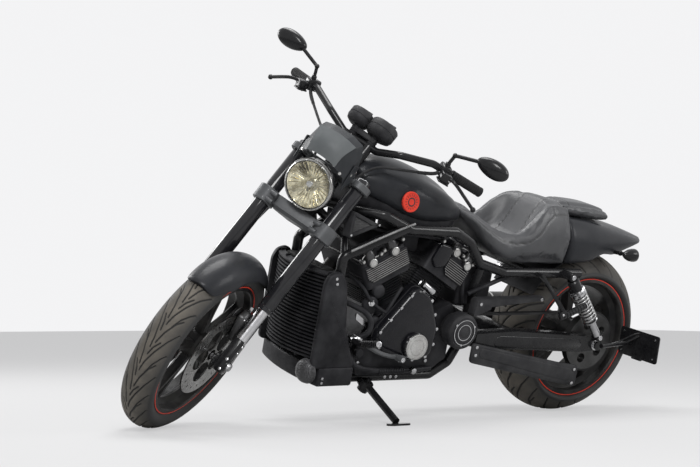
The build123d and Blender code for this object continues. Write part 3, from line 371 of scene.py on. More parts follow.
def buildTyre(name, size, axle, body, node):
    middle = size["radius"] - size["crown"]
    spanAngle = radians(58)
    steps = size["treadSteps"]
    profile = [(size["crown"] * sin(a), middle + size["crown"] * cos(a))
               for a in (spanAngle * (2 * k / steps - 1) for k in range(steps + 1))]
    edgeY, edgeR = profile[-1]
    lipY, lipR = size["rimHalf"] - 2, size["rim"] + size["lip"] + 0.5
    bellyR = (edgeR + lipR) / 2
    wall = []
    for k in range(1, 9):  # bowed sidewall from the shoulder to the lip
        t = k / 8
        bow = 4 * t * (1 - t)
        chordY = edgeY + (lipY - edgeY) * t
        wall.append((chordY + (size["half"] - (edgeY + lipY) / 2) * bow * 0.98, edgeR + (lipR - edgeR) * t))
    inner = [(size["rimHalf"] - 12, lipR + 4), (size["half"] - 22, bellyR), (size["half"] * 0.4, size["radius"] - 15)]
    section = profile + wall + inner + [(-y, r) for y, r in inner[::-1]] + [(-y, r) for y, r in wall[::-1]]
    bm = bmesh.new()
    spinRing(bm, axle, section, size["turnSteps"])
    bmesh.ops.recalc_face_normals(bm, faces=bm.faces)
    piece = makePiece(bm, name, "tyre", body, smooth=50, replaced=(node,), place=Matrix.Identity(4))
    mesh = piece.data
    points = np.empty(len(mesh.vertices) * 3)
    mesh.vertices.foreach_get("co", points)
    points = points.reshape(-1, 3)
    dx, dz = points[:, 0] - axle[0], points[:, 2] - axle[2]
    radius = np.hypot(dx, dz)
    theta = np.arctan2(dz, dx)
    y = points[:, 1] - axle[1]
    lean = np.arctan2(y, radius - middle)
    onTread = (np.abs(lean) <= spanAngle * 1.001) & (radius > edgeR - 1)
    pitch = 2 * pi * size["radius"] / size["pitches"]
    halfWidth = spanAngle * size["crown"]
    travel = theta * size["radius"]
    # groove mask: cuts the tread, and in the finish paints shade into the grooves
    grooveAndShade = np.zeros(len(points))
    for side, offset in ((1, 0.0), (-1, pitch / 2)):
        chosen = onTread & (side * lean >= 0)
        s = np.mod(travel[chosen] + offset, pitch)
        gap = strokeDistance(s, np.abs(lean[chosen]) * size["crown"], pitch, halfWidth)
        grooveAndShade[chosen] = np.clip((size["strokeHalf"] - gap) / 1.2 + 0.5, 0, 1)
    sink = grooveAndShade * size["depth"]
    nx, ny = np.cos(lean), np.sin(lean)
    points[:, 0] -= dx / radius * nx * sink
    points[:, 2] -= dz / radius * nx * sink
    points[:, 1] -= ny * sink
    mesh.vertices.foreach_set("co", points.reshape(-1))
    dust = np.where(onTread, 1.0 - grooveAndShade, 0.0) * np.clip(1.25 - np.abs(lean) / spanAngle, 0, 1)
    for label, values in (("dust", dust), ("grooveAndShade", grooveAndShade)):
        layer = mesh.attributes.new(label, "FLOAT", "POINT")
        layer.data.foreach_set("value", values.astype(np.float32))
    mesh.transform(places[body])
    mesh.update()
    return piece


def tyreFinish():
    material, tree, shader = newMaterial("tyreRubber")
    dust, grooveAndShade = (addNode(tree, "Attribute", {}, attribute_name=name).outputs["Fac"] for name in ("dust", "grooveAndShade"))
    share = mathNode(tree, "MULTIPLY", dust, ramp(tree, objectNoise(tree, 22.0, 6.0), 0.3, 0.7, 0.45, 1.0))
    colour = mixColour(tree, share, (0.022, 0.022, 0.022), (0.13, 0.115, 0.095))
    # grooves mixed to near black are painted shade in the tread recesses; dust lies only on the raised tread
    fill(tree, shader, {
        "Base Color": mixColour(tree, grooveAndShade, colour, (0.004, 0.004, 0.004)), "Roughness": 0.74,
        "Normal": bumped(tree, objectNoise(tree, 1400.0, 3.0), 0.35, grainDepth)})
    return material


finishes["tyre"] = tyreFinish()
buildTyre("frontTyre", frontTyre, frontAxle, "front_wheel_set", "front_tyre")
buildTyre("rearTyre", rearTyre, rearAxle, "rear_wheel_set", "rear_tyre")
print("stage: tyres")


# ---- wheels: spun rims with a red stripe, split spokes and hubs
frontWheel = {"rim": 241.0, "rimHalf": 48.0, "lip": 10.0, "hub": 42.0, "hubHalf": 65.5, "bore": 13.2,
              "spokes": 5, "spokeWidth": 19.0, "spokeDepth": 30.0}
rearWheel = {"rim": 228.6, "rimHalf": 107.0, "lip": 10.0, "hub": 52.0, "hubHalf": 127.0, "bore": 13.2,
             "spokes": 5, "spokeWidth": 24.0, "spokeDepth": 44.0}


def buildWheel(name, size, axle, body, node):
    rim, half, lip = size["rim"], size["rimHalf"], size["rim"] + size["lip"]
    well = rim - 20
    outer = [(-half, lip - 2), (-half + 2, lip), (-half + 7, lip), (-half + 9, rim), (-half + 26, rim),
            (-half + 40, well),
             (half - 40, well), (half - 26, rim), (half - 9, rim), (half - 7, lip), (half - 2, lip), (half, lip - 2),
             (half, rim - 6), (half - 4, rim - 9), (half - 30, rim - 10), (half - 44, well - 9),
             (-half + 44, well - 9), (-half + 30, rim - 10), (-half + 4, rim - 9), (-half, rim - 6)]
    bm = bmesh.new()
    spinRing(bm, axle, outer, 144)
    hub, end = size["hub"], size["hubHalf"]
    hubRing = [(-end, size["bore"]), (-end, hub - 5), (-end + 5, hub), (-26, hub), (-18, hub + 9), (18, hub + 9),
               (26, hub), (end - 5, hub), (end, hub - 5), (end, size["bore"])]
    spinRing(bm, axle, hubRing, 64)
    reach = well - 9 - hub
    for spoke in range(size["spokes"]):
        for fork in (-1, 1):
            angle = radians(360 / size["spokes"] * spoke + 90)
            tilt = radians(5.5 * fork)
            rings = []
            for share in (0.0, 0.12, 0.5, 0.86, 1.0):
                radius = hub - 6 + (reach + 10) * share
                flare = 1 + 0.5 * (1 - share) ** 3 + 0.35 * share ** 6
                width = size["spokeWidth"] * flare * 0.5
                depth = size["spokeDepth"] * (1.15 - 0.35 * share) * 0.5
                bend = angle + tilt * (0.35 + 0.75 * share)
                out = Vector((cos(bend), 0, sin(bend)))
                across = Vector((-sin(bend), 0, cos(bend)))
                corners = ((-1, -0.6), (-0.6, -1), (0.6, -1), (1, -0.6), (1, 0.6), (0.6, 1), (-0.6, 1), (-1, 0.6))
                rings.append([Vector(axle) + out * radius + across * width * cx + Vector((0, depth * cy, 0))
                              for cx, cy in corners])
            bridge(bm, rings)
    makePiece(bm, name, "wheel_paint", body, smooth=32, replaced=(node,))
    bm = bmesh.new()
    for side in (-1, 1):
        face = side * (half + 0.35)
        spinRing(bm, axle, [(face - side * 0.9, lip - 1.2), (face, lip - 1.6), (face, lip - 4.6),
                (face - side * 0.9, lip - 5)], 144)
    makePiece(bm, name + "Stripe", "badge_red", body)


buildWheel("frontWheelCast", frontWheel, frontAxle, "front_wheel_set", "front_wheel")
buildWheel("rearWheelCast", rearWheel, rearAxle, "rear_wheel_set", "rear_wheel")


# ---- painted body: rings across the machine, bridged and rounded
def threeArc(first, through, last, steps):
    # points on the circle through three points of a plane
    (ax, ay), (bx, by), (cx, cy) = first, through, last
    d = 2 * (ax * (by - cy) + bx * (cy - ay) + cx * (ay - by))
    if abs(d) < 1e-6:
        return [(ax + (cx - ax) * k / steps, ay + (cy - ay) * k / steps) for k in range(steps + 1)]
    ux = ((ax * ax + ay * ay) * (by - cy) + (bx * bx + by * by) * (cy - ay) + (cx * cx + cy * cy) * (ay - by)) / d
    uy = ((ax * ax + ay * ay) * (cx - bx) + (bx * bx + by * by) * (ax - cx) + (cx * cx + cy * cy) * (bx - ax)) / d
    radius = hypot(ax - ux, ay - uy)
    start, middle, end = (atan2(y - uy, x - ux) for x, y in (first, through, last))
    turn = (end - start) % (2 * pi)
    if (middle - start) % (2 * pi) > turn:
        turn -= 2 * pi
    return [(ux + radius * cos(start + turn * k / steps), uy + radius * sin(start + turn * k / steps))
            for k in range(steps + 1)]


def bodyRing(x, low, bottomHalf, sideHalf, sideZ, topHalf, topZ, crownZ, steps=8):
    side = threeArc((bottomHalf, low), (sideHalf, sideZ), (topHalf, topZ), steps)
    top = threeArc((topHalf, topZ), (0, crownZ), (-topHalf, topZ), 2 * steps)
    under = [(bottomHalf * (k / 4 - 1), low) for k in range(1, 8)]
    ring = side + top[1:-1] + [(-y, z) for y, z in side[::-1]] + under
    return [(x, y, z) for y, z in ring]


def smoothTable(rows, count):
    # more rows from few, along a smooth curve through them
    out = []
    for k in range(count + 1):
        t = k / count * (len(rows) - 1)
        i = min(int(t), len(rows) - 2)
        f = t - i
        quad = [rows[max(min(j, len(rows) - 1), 0)] for j in (i - 1, i, i + 1, i + 2)]
        row = []
        for p0, p1, p2, p3 in zip(*quad):
            row.append(0.5 * (2 * p1 + (p2 - p0) * f + (2 * p0 - 5 * p1 + 4 * p2 - p3) * f ** 2
                              + (3 * p1 - p0 - 3 * p2 + p3) * f ** 3))
        out.append(tuple(row))
    return out


# columns: x, low, bottom half, side half, side z, top half, top z, crown z
tankRows = [(1158, 864, 72, 84, 892, 60, 926, 938), (1110, 840, 102, 118, 880, 78, 936, 962),
            (1040, 810, 130, 152, 866, 98, 936, 970), (930, 774, 140, 165, 840, 102, 922, 950),
            (800, 769, 132, 152, 816, 88, 872, 898), (708, 769, 90, 99, 790, 62, 820, 838)]
tailRows = [(194, 624, 138, 153, 715, 104, 796, 800), (60, 630, 133, 145, 706, 96, 784, 788),
            (-90, 652, 97, 107, 708, 70, 752, 769), (-230, 678, 53, 61, 702, 42, 722, 735),
            (-318, 686, 10, 15, 694, 11, 703, 709)]
tailArch = {"gap": 16.0, "half": 128.0, "top": 720.0}


def buildTank():
    bm = bmesh.new()
    bridge(bm, [bodyRing(*row) for row in smoothTable(tankRows, 22)])
    makePiece(bm, "tankCover", "body_paint", "chassis", smooth=60, level=1, replaced=("tank_cover",))


def buildTail():
    bm = bmesh.new()
    bridge(bm, [bodyRing(*row) for row in smoothTable(tailRows, 22)])
    axle = stance["axleHeight"]
    arch = rearTyre["radius"] + tailArch["gap"]
    for v in bm.verts:  # the wheel arch lifts the belly over the tyre
        if abs(v.co.y) < tailArch["half"] and v.co.z < tailArch["top"]:
            reach = hypot(v.co.x, v.co.z - axle)
            if reach < arch and v.co.z > axle:
                v.co.z = axle + sqrt(max(arch ** 2 - v.co.x ** 2, 0))
    makePiece(bm, "tailCover", "body_paint", "chassis", smooth=60, level=1, replaced=("tail_section",))


fender = {"radius": 341.0, "half": 74.0, "wall": 4.0, "start": 58.0, "end": 148.0, "drop": 56.0}


def buildFrontFender():
    bm = bmesh.new()
    rings = []
    for k in range(37):
        share = k / 36
        angle = radians(fender["start"] + (fender["end"] - fender["start"]) * share)
        tip = min(share, 1 - share) * 2
        half = fender["half"] * (0.62 + 0.38 * min(tip * 2.2, 1) ** 0.5)
        drop = fender["drop"] * (half / fender["half"]) ** 2
        ring = []
        for layer in (0, fender["wall"]):
            arc = threeArc((-half, fender["radius"] - drop), (0, fender["radius"]), (half, fender["radius"] - drop),
                    20)
            arc = [(y, r - layer) for y, r in arc]
            ring += arc if layer == 0 else arc[::-1]
        rings.append([Vector(frontAxle) + Vector((r * cos(angle), y, r * sin(angle))) for y, r in ring])
    bridge(bm, rings)
    makePiece(bm, "frontFender", "body_paint", "steering", smooth=45, level=1, replaced=("front_fender",))


buildTank()
buildTail()
buildFrontFender()
print("stage: wheels and painted body")


# ---- seat and pad: crowned closed forms, swollen as cloth, then sewn
seat = {"voxel": 0.006, "pressure": 4.0, "cap": 0.005, "frames": 16, "seamHalf": 2.2, "seamDepth": 2.6}
# columns: x, low, bottom half, side half, side z, rim half, rim z, dish half, dish z
seatRows = [(700, 792, 70, 86, 806, 62, 824, 40, 834), (650, 752, 106, 122, 776, 84, 802, 52, 806),
            (600, 702, 134, 152, 738, 118, 772, 70, 764), (545, 662, 148, 166, 706, 138, 744, 92, 716),
            (490, 638, 150, 171, 694, 144, 736, 98, 694), (430, 630, 149, 171, 700, 146, 758, 98, 690),
            (385, 628, 148, 170, 712, 142, 794, 92, 708), (345, 628, 148, 167, 722, 134, 826, 82, 760),
            (305, 628, 147, 164, 730, 124, 846, 72, 826), (262, 628, 145, 161, 731, 116, 852, 66, 857),
            (198, 630, 140, 155, 728, 108, 838, 60, 851)]
padRows = [(190, 803, 68, 79, 820, 70, 838, 40, 846), (120, 798, 76, 86, 814, 78, 834, 44, 845),
           (30, 791, 76, 85, 807, 74, 828, 42, 838), (-40, 786, 66, 75, 799, 62, 816, 36, 824),
           (-70, 784, 50, 58, 793, 48, 804, 28, 810)]


def seatRing(x, low, bottomHalf, sideHalf, sideZ, rimHalf, rimZ, dishHalf, dishZ):
    half = [(bottomHalf, low), (sideHalf - 4, (low + sideZ) / 2), (sideHalf, sideZ),
            ((sideHalf + rimHalf) / 2 + 6, (sideZ + rimZ) / 2),
            (rimHalf + 5, rimZ - 7), (rimHalf - 4, rimZ), (rimHalf - 16, rimZ - 4),
            (dishHalf, dishZ + (rimZ - dishZ) * 0.16),
            (dishHalf * 0.5, dishZ + (rimZ - dishZ) * 0.02), (0, dishZ)]
    fine = smoothTable(half, 30)
    ring = fine + [(-y, z) for y, z in fine[-2::-1]]
    ring += [(bottomHalf * (k / 4 - 1), low) for k in range(1, 8)]
    return [(x, y, z) for y, z in ring]


def swell(piece, voxel, pressure, cap, frames):
    # a few steps of cloth under pressure, each point held within the cap
    remesh = piece.modifiers.new("even", "REMESH")
    remesh.mode = "VOXEL"
    remesh.voxel_size = voxel
    depsgraph = bpy.context.evaluated_depsgraph_get()
    even = bpy.data.meshes.new_from_object(piece.evaluated_get(depsgraph))
    piece.modifiers.clear()
    old = piece.data
    piece.data = even
    bpy.data.meshes.remove(old)
    start = np.empty(len(even.vertices) * 3)
    even.vertices.foreach_get("co", start)
    cloth = piece.modifiers.new("swell", "CLOTH")
    cloth.settings.use_pressure = True
    cloth.settings.uniform_pressure_force = pressure
    cloth.settings.quality = 4
    cloth.settings.effector_weights.gravity = 0
    cloth.point_cache.frame_end = frames
    scene = bpy.context.scene
    for step in range(1, frames + 1):
        scene.frame_set(step)
    depsgraph = bpy.context.evaluated_depsgraph_get()
    swollen = bpy.data.meshes.new_from_object(piece.evaluated_get(depsgraph))
    piece.modifiers.clear()
    scene.frame_set(1)
    end = np.empty(len(swollen.vertices) * 3)
    swollen.vertices.foreach_get("co", end)
    move = (end - start).reshape(-1, 3)
    length = np.linalg.norm(move, axis=1, keepdims=True)
    move *= np.minimum(1, cap / np.maximum(length, 1e-9))
    even.vertices.foreach_set("co", (start.reshape(-1, 3) + move).reshape(-1))
    even.update()
    bpy.data.meshes.remove(swollen)


def sewSeams(piece, seams, place):
    # presses each seam into the surface and marks it for the finish
    mesh = piece.data
    count = len(mesh.vertices)
    points = np.empty(count * 3)
    mesh.vertices.foreach_get("co", points)
    normals = np.empty(count * 3)
    mesh.vertices.foreach_get("normal", normals)
    back = np.array(place.inverted())
    local = points.reshape(-1, 3) @ back[:3, :3].T + back[:3, 3]
    normals = normals.reshape(-1, 3)
    mark = np.zeros(count)
    for path in seams:
        for first, second in zip(path, path[1:]):
            a, b = np.array(first, float), np.array(second, float)
            way = b - a
            if way @ way < 1e-6:
                continue
            share = np.clip(((local - a) @ way) / (way @ way), 0, 1)
            gap = np.linalg.norm(local - a - share[:, None] * way, axis=1)
            mark = np.maximum(mark, np.exp(-(gap / seat["seamHalf"]) ** 2))
    points = points.reshape(-1, 3) - normals * (mark * seat["seamDepth"] * 0.001)[:, None]
    mesh.vertices.foreach_set("co", points.reshape(-1))
    layer = mesh.attributes.new("seam", "FLOAT", "POINT")
    layer.data.foreach_set("value", mark.astype(np.float32))
    mesh.update()


def onSurface(piece, place, paths, above):
    # drops (x, y) points from above, or (x, z) points from the left, onto the piece, in the machine's millimetres
    mesh = piece.data
    back = place.inverted()
    tree = BVHTree.FromPolygons([back @ v.co for v in mesh.vertices], [p.vertices[:] for p in mesh.polygons])
    dropped = []
    for path in paths:
        line = []
        for (x0, u0), (x1, u1) in zip(path, path[1:]):
            for k in range(13):
                x, u = x0 + (x1 - x0) * k / 12, u0 + (u1 - u0) * k / 12
                if above:
                    line.append(tree.ray_cast(Vector((x, u, 1000)), Vector((0, 0, -1)))[0])
                else:
                    line.append(tree.ray_cast(Vector((x, 400, u)), Vector((0, -1, 0)))[0])
        dropped.append([tuple(p) for p in line if p])
    return dropped


def seatFinish():
    material, tree, shader = newMaterial("seatCover")
    seam = addNode(tree, "Attribute", {}, attribute_name="seam").outputs["Fac"]
    blotch = objectNoise(tree, 9.0, 5.0)
    base = mixColour(tree, ramp(tree, blotch, 0.3, 0.7, 0, 1), (0.03, 0.031, 0.034), (0.055, 0.056, 0.06))
    where = addNode(tree, "TexCoord", {}).outputs["Object"]
    grain = addNode(tree, "TexVoronoi", {"Scale": 620.0, "Vector": where}).outputs["Distance"]
    fill(tree, shader, {
        "Base Color": mixColour(tree, seam, base, (0.008, 0.008, 0.008)),
        "Roughness": ramp(tree, blotch, 0.3, 0.7, 0.34, 0.5), "Normal": bumped(tree, grain, 0.25, grainDepth)})
    return material


finishes["seat_leather"] = seatFinish()


def buildSeat():
    bm = bmesh.new()
    bridge(bm, [seatRing(*row) for row in smoothTable(seatRows, 44)])
    piece = makePiece(bm, "riderSeat", "seat_leather", "chassis", smooth=180, replaced=("rider_seat",))
    swell(piece, seat["voxel"], seat["pressure"], seat["cap"], seat["frames"])
    panel = [[(262, side * 50), (330, side * 54), (400, side * 60), (462, side * 66)] for side in (-1, 1)]
    cross = [[(462, -66), (474, -30), (478, 0), (474, 30), (462, 66)], [(225, -112), (222, 0), (225, 112)]]
    seams = onSurface(piece, chassisPlace, panel + cross, True)
    rim = [[(690, 812), (640, 780), (590, 742), (540, 716), (480, 706), (420, 716), (370, 746), (330, 790),
            (290, 818), (215, 812)]]
    outer = onSurface(piece, chassisPlace, rim, False)
    seams += outer + [[(x, -y, z) for x, y, z in line] for line in outer]
    sewSeams(piece, seams, chassisPlace)
    rounder = piece.modifiers.new("rounder", "SUBSURF")
    rounder.levels = rounder.render_levels = 1
    piece.data.shade_smooth()


def buildPad():
    bm = bmesh.new()
    bridge(bm, [seatRing(*row) for row in smoothTable(padRows, 30)])
    piece = makePiece(bm, "pillionPad", "seat_leather", "chassis", smooth=180, replaced=("pillion_pad",))
    swell(piece, 0.005, seat["pressure"], 0.003, 12)
    lines = onSurface(piece, chassisPlace, [[(150, -74), (152, 0), (150, 74)]], True)
    sewSeams(piece, lines, chassisPlace)
    rounder = piece.modifiers.new("rounder", "SUBSURF")
    rounder.levels = rounder.render_levels = 1
    piece.data.shade_smooth()


buildSeat()
buildPad()
print("stage: seat and pad")


# ---- more mesh helpers
def turned(bm, start, way, profile, steps=48):
    # (radius, along) points turned round the line from start along way, closed where they meet the line
    start, way = Vector(start), Vector(way).normalized()
    before = len(bm.verts)
    place = along(start, start + way)
    verts, edges = addLoop(bm, [place @ Vector((radius, 0, height)) for radius, height in profile], False)
    bmesh.ops.spin(bm, geom=verts + edges, cent=start, axis=way, angle=2 * pi, steps=steps, use_merge=True)
    poles = [v for v in list(bm.verts)[before:] if (v.co - start).cross(way).length < 0.01]
    bmesh.ops.remove_doubles(bm, verts=poles, dist=0.02)


def cap(bm, start, way, radius, height, rings=(), steps=40):
    # round cap with a rounded rim and, on its face, grooves at the given shares of its radius
    edge = min(height * 0.45, radius * 0.25)
    profile = [(0, 0), (radius, 0), (radius, height - edge), (radius - edge * 0.3, height - edge * 0.3),
            (radius - edge, height)]
    for share in sorted(rings, reverse=True):
        profile += [(radius * share + 1.2, height), (radius * share + 0.5, height - 1.4),
                (radius * share - 0.5, height - 1.4),
                    (radius * share - 1.2, height)]
    turned(bm, start, way, profile + [(0, height)], steps)


def facePlace(origin, rear, up):
    # lays a drawing of (rearward, upward) points on a left-hand face
    rear, up = Vector(rear).normalized(), Vector(up).normalized()
    return Matrix.Translation(Vector(origin)) @ Matrix((rear, up, rear.cross(up))).transposed().to_4x4()


def inset(outline, distance):
    # the outline moved inwards, for bolts and ridges that follow an edge
    middle = Vector((sum(x for x, _ in outline) / len(outline), sum(y for _, y in outline) / len(outline)))
    moved = []
    for before, here, after in zip(outline[-1:] + outline[:-1], outline, outline[1:] + outline[:1]):
        a, b, c = Vector(before), Vector(here), Vector(after)
        way = ((b - a).normalized() + (c - b).normalized()).normalized()
        normal = Vector((-way.y, way.x))
        if normal.dot(middle - b) < 0:
            normal = -normal
        moved.append(tuple(b + normal * distance))
    return moved


def rounded(corners, radius, steps=5):
    # polygon with its corners turned into arcs
    out = []
    for before, here, after in zip(corners[-1:] + corners[:-1], corners, corners[1:] + corners[:1]):
        b = Vector(here)
        back, ahead = Vector(before) - b, Vector(after) - b
        cut = min(radius, back.length * 0.45, ahead.length * 0.45)
        start, end = b + back.normalized() * cut, b + ahead.normalized() * cut
        for k in range(steps + 1):
            t = k / steps
            out.append(tuple(start * (1 - t) ** 2 + b * 2 * t * (1 - t) + end * t ** 2))
    return out


def stack(bm, outline, steps, side=1):
    # form drawn as (-x, z) points, built up sideways in steps of (y, inset)
    bridge(bm, [[(-x, y * side, z) for x, z in (inset(outline, shrink) if shrink else outline)] for y,
            shrink in steps])


def spaced(outline, count):
    # evenly spaced points on a closed outline
    loop = [Vector(p) for p in outline] + [Vector(outline[0])]
    lengths = [(b - a).length for a, b in zip(loop, loop[1:])]
    total = sum(lengths)
    found = []
    for k in range(count):
        left = total * (k / max(count - 1, 1)) % total
        for a, b, length in zip(loop, loop[1:], lengths):
            if left <= length:
                found.append(tuple(a + (b - a) * (left / max(length, 1e-9))))
                break
            left -= length
    return found


# ---- engine: finned barrels, heads with plaques and caps, side covers
engine = {"crankX": 890.0, "crankZ": 345.0, "half": 27.5, "deck": 150.0, "barrelTop": 245.0, "headTop": 345.0,
          "coverTop": 402.0, "headHalf": 96.0, "headSide": 140.0, "barrelHalf": 74.0, "finPitch": 9.5}


def veePlace(side, distance, out=0.0):
    # on a cylinder: x rearward, y up the cylinder, z to the left, from its middle line
    lean = radians(engine["half"]) * side
    up = Vector((sin(lean), 0, cos(lean)))
    rear = Vector((-cos(lean), 0, sin(lean)))
    origin = Vector((engine["crankX"], 0, engine["crankZ"])) + up * distance + Vector((0, out, 0))
    return facePlace(origin, rear, up)


def acrossPlace(side, distance):
    # across a cylinder: x rearward, y left, z up the cylinder
    lean = radians(engine["half"]) * side
    up = Vector((sin(lean), 0, cos(lean)))
    rear = Vector((-cos(lean), 0, sin(lean)))
    origin = Vector((engine["crankX"], 0, engine["crankZ"])) + up * distance
    return Matrix.Translation(origin) @ Matrix((rear, up.cross(rear), up)).transposed().to_4x4()


def buildCylinder(side, name, node, headLook):
    bm = bmesh.new()
    addPlate(bm, roundedOutline(2 * engine["barrelHalf"] - 8, 178, 18), acrossPlace(side, engine["deck"] + 0.3), 96)
    count = int((engine["barrelTop"] - engine["deck"]) / engine["finPitch"])
    for fin in range(count):
        addPlate(bm, roundedOutline(2 * engine["barrelHalf"] + 6, 196, 22),
                 acrossPlace(side, engine["deck"] + 4 + fin * engine["finPitch"]), 3.0, 0.8, 1)
    head = roundedOutline(2 * engine["headHalf"] - 2, 2 * engine["headSide"] - 2, 20)
    addPlate(bm, head, acrossPlace(side, engine["barrelTop"]), 100, 3.0, 2)
    for level in (262, 276, 290):
        addPlate(bm, roundedOutline(2 * engine["headHalf"] + 4, 2 * engine["headSide"] - 24, 20),
                acrossPlace(side, level), 3.4, 1, 1)
    makePiece(bm, name, "engine_black", "chassis", replaced=(node,))
    bm = bmesh.new()
    high = engine["coverTop"] - engine["headTop"]
    rings = []
    for share, shrink in ((0.0, 0), (0.16, 0), (0.3, 5), (0.72, 9), (0.9, 14), (1.0, 25)):
        place = acrossPlace(side, engine["headTop"] + 0.5 + (high - 1) * share)
        outline = roundedOutline(2 * engine["headHalf"] - 30 - 2 * shrink, 2 * engine["headSide"] - 16 - 2 * shrink,
                28)
        rings.append([place @ Vector((x, y, 0)) for x, y in outline])
    bridge(bm, rings)
    makePiece(bm, name + "Cover", headLook, "chassis", smooth=50)
    bm = bmesh.new()
    lip = roundedOutline(2 * engine["headHalf"] - 26, 2 * engine["headSide"] - 12, 30)
    addPlate(bm, lip, acrossPlace(side, engine["headTop"] + 1), 4, 1.2, 2)
    for x, y in spaced(inset(lip, 9), 12):
        place = acrossPlace(side, engine["headTop"] + 4)
        addBolt(bm, place @ Vector((x, y, 0)), place.to_3x3() @ Vector((0, 0, 1)), 5.2, 5)
    makePiece(bm, name + "Rim", "satin_metal", "chassis")


buildCylinder(1, "frontCylinder", "front_cylinder", "engine_black")
buildCylinder(-1, "rearCylinder", "rear_cylinder", "gloss_cover")

plaque = {"low": -44.0, "high": 22.0, "corner": 22.0, "depth": 3.4, "fins": 8, "finWidth": 3.6, "capRadius": 16.5,
          "capDepth": 13.0, "towerRadius": 18.5, "towerTop": 84.0, "cover": 47.0}
heads = (  # side of the vee, plaque's fore and rear end, caps as (along, up), small bolts
    {"side": 1, "fore": -88, "rear": 93, "caps": ((-53, 30), (42, 30)),
    "bolts": ((-86, 48), (86, 54), (-12, 44), (4, 50))},
    {"side": -1, "fore": -20, "rear": 93, "caps": ((-10, 46), (66, 30)),
    "bolts": ((88, 46), (30, 52), (46, 44), (-84, 52))},
)


def buildTrim():
    dark, fins, bright, towers, box = (bmesh.new() for _ in range(5))
    for head in heads:
        place = veePlace(head["side"], 310, engine["headSide"] + 0.3)
        fore, rear, low, high, corner = head["fore"], head["rear"], plaque["low"], plaque["high"], plaque["corner"]
        outline = rounded([(rear, low + corner * 0.4), (rear, high), (fore, high), (fore, low + corner),
                (fore + corner, low),
                           (rear - corner * 0.4, low)], 6, 3)
        addPlate(dark, outline, place, plaque["depth"], 1, 1)
        step = (high - low - 6) / plaque["fins"]
        for fin in range(plaque["fins"]):
            y = low + 5 + fin * step
            start = fore + 3 + max(corner - (y - low), 0) * 0.9
            middle, width = (start + rear - 4) / 2, rear - 4 - start
            addBox(fins, place @ Vector((middle, y, plaque["depth"] + 1)), (width, plaque["finWidth"], 2.6),
                   place.to_3x3().to_4x4(), 0.7, 1)
        up = place.to_3x3() @ Vector((0, 1, 0))
        for x, y in head["caps"]:
            cap(bright, place @ Vector((x, y, 0)), (0, 1, 0), plaque["capRadius"], plaque["capDepth"], (0.72,))
            addRod(dark, place @ Vector((x, y, 0)), place @ Vector((x, y, 8)), plaque["capRadius"] + 4, edge=1)
            tall, stout = plaque["towerTop"] - y, plaque["towerRadius"]
            turned(towers, place @ Vector((x, y - 4, -8)), up,
                   [(0, 0), (stout, 0), (stout, tall * 0.6), (15, tall * 0.86), (9, tall), (0, tall + 1)], 32)
        for x, y in head["bolts"]:
            addRod(towers, place @ Vector((x, y, -14)), place @ Vector((x, y, 4)), 8, edge=1)
            addBolt(bright, place @ Vector((x, y, 3)), (0, 1, 0), 5, 4)
        lip = [(head["fore"] - 2, 40), (head["fore"] + 1, 54), (head["fore"] + 22, 68), (28, 80), (74, 76)]
        addPipe(bright, [place @ Vector((x, y, -6)) for x, y in lip], 1.7, 8)
    place = veePlace(-1, 310, engine["headSide"] + 0.3)
    cover = rounded([(-26, -22), (-26, 44), (-46, 52), (-92, 40), (-92, -26), (-62, -46)], 9, 4)
    rings = [[place @ Vector((x, y, z)) for x, y in (inset(cover, shrink) if shrink else cover)]
             for z, shrink in ((0, 0), (8, 0), (12, 3), (13.5, 8))]
    bridge(box, rings)
    cap(bright, (893, 212.3, 339), (0, 1, 0), plaque["cover"], 8, (0.88, 0.6), 64)
    makePiece(dark, "plaqueBases", "engine_black", "chassis")
    makePiece(fins, "plaqueFins", "disc_steel", "chassis")
    makePiece(bright, "engineTrim", "satin_metal", "chassis", replaced=("engine_trim",))
    makePiece(towers, "plugTowers", "caliper_metal", "chassis", smooth=45)
    makePiece(box, "coilCover", "gloss_cover", "chassis", smooth=45)


buildTrim()

sideCover = {"outline": [(915, 560), (1068, 378), (1045, 312), (930, 268), (800, 290), (786, 400), (840, 520)],
             "low": 140.4, "high": 199.5, "corner": 34.0, "bolts": 15}


def buildCovers():
    bm, bolts = bmesh.new(), bmesh.new()
    outline = rounded([(-x, z) for x, z in sideCover["outline"]], sideCover["corner"], 7)
    steps = ((sideCover["low"], 0), (sideCover["low"] + 26, 0), (sideCover["low"] + 27, 3),
            (sideCover["high"] - 18, 4),
             (sideCover["high"] - 8, 8), (sideCover["high"] - 2, 15), (sideCover["high"], 24))
    stack(bm, outline, steps)
    cap(bm, (893, sideCover["high"] - 1, 339), (0, 1, 0), 50, 13.6, (), 64)
    for x, z, radius in ((820, 345, 111), (960, 345, 77)):
        cap(bm, (x, -140.4, z), (0, -1, 0), radius, 57, (0.9, 0.62, 0.3), 72)
    makePiece(bm, "sideCovers", "gloss_cover", "chassis", smooth=40, replaced=("engine_covers",))
    for x, z in spaced(inset(outline, 10), sideCover["bolts"]):
        addBolt(bolts, (-x, sideCover["high"] - 10, z), (0, 1, 0), 6.4, 7)
    for turn in range(5):
        angle = 2 * pi * turn / 5 + 0.4
        addBolt(bolts, (893 + 46 * cos(angle), 210, 339 + 46 * sin(angle)), (0, 1, 0), 3.4, 3.4)
    for turn in range(9):
        angle = 2 * pi * turn / 9
        addBolt(bolts, (820 + 103 * cos(angle), -188, 345 + 103 * sin(angle)), (0, -1, 0), 6, 8)
    makePiece(bolts, "coverBolts", "steel", "chassis")


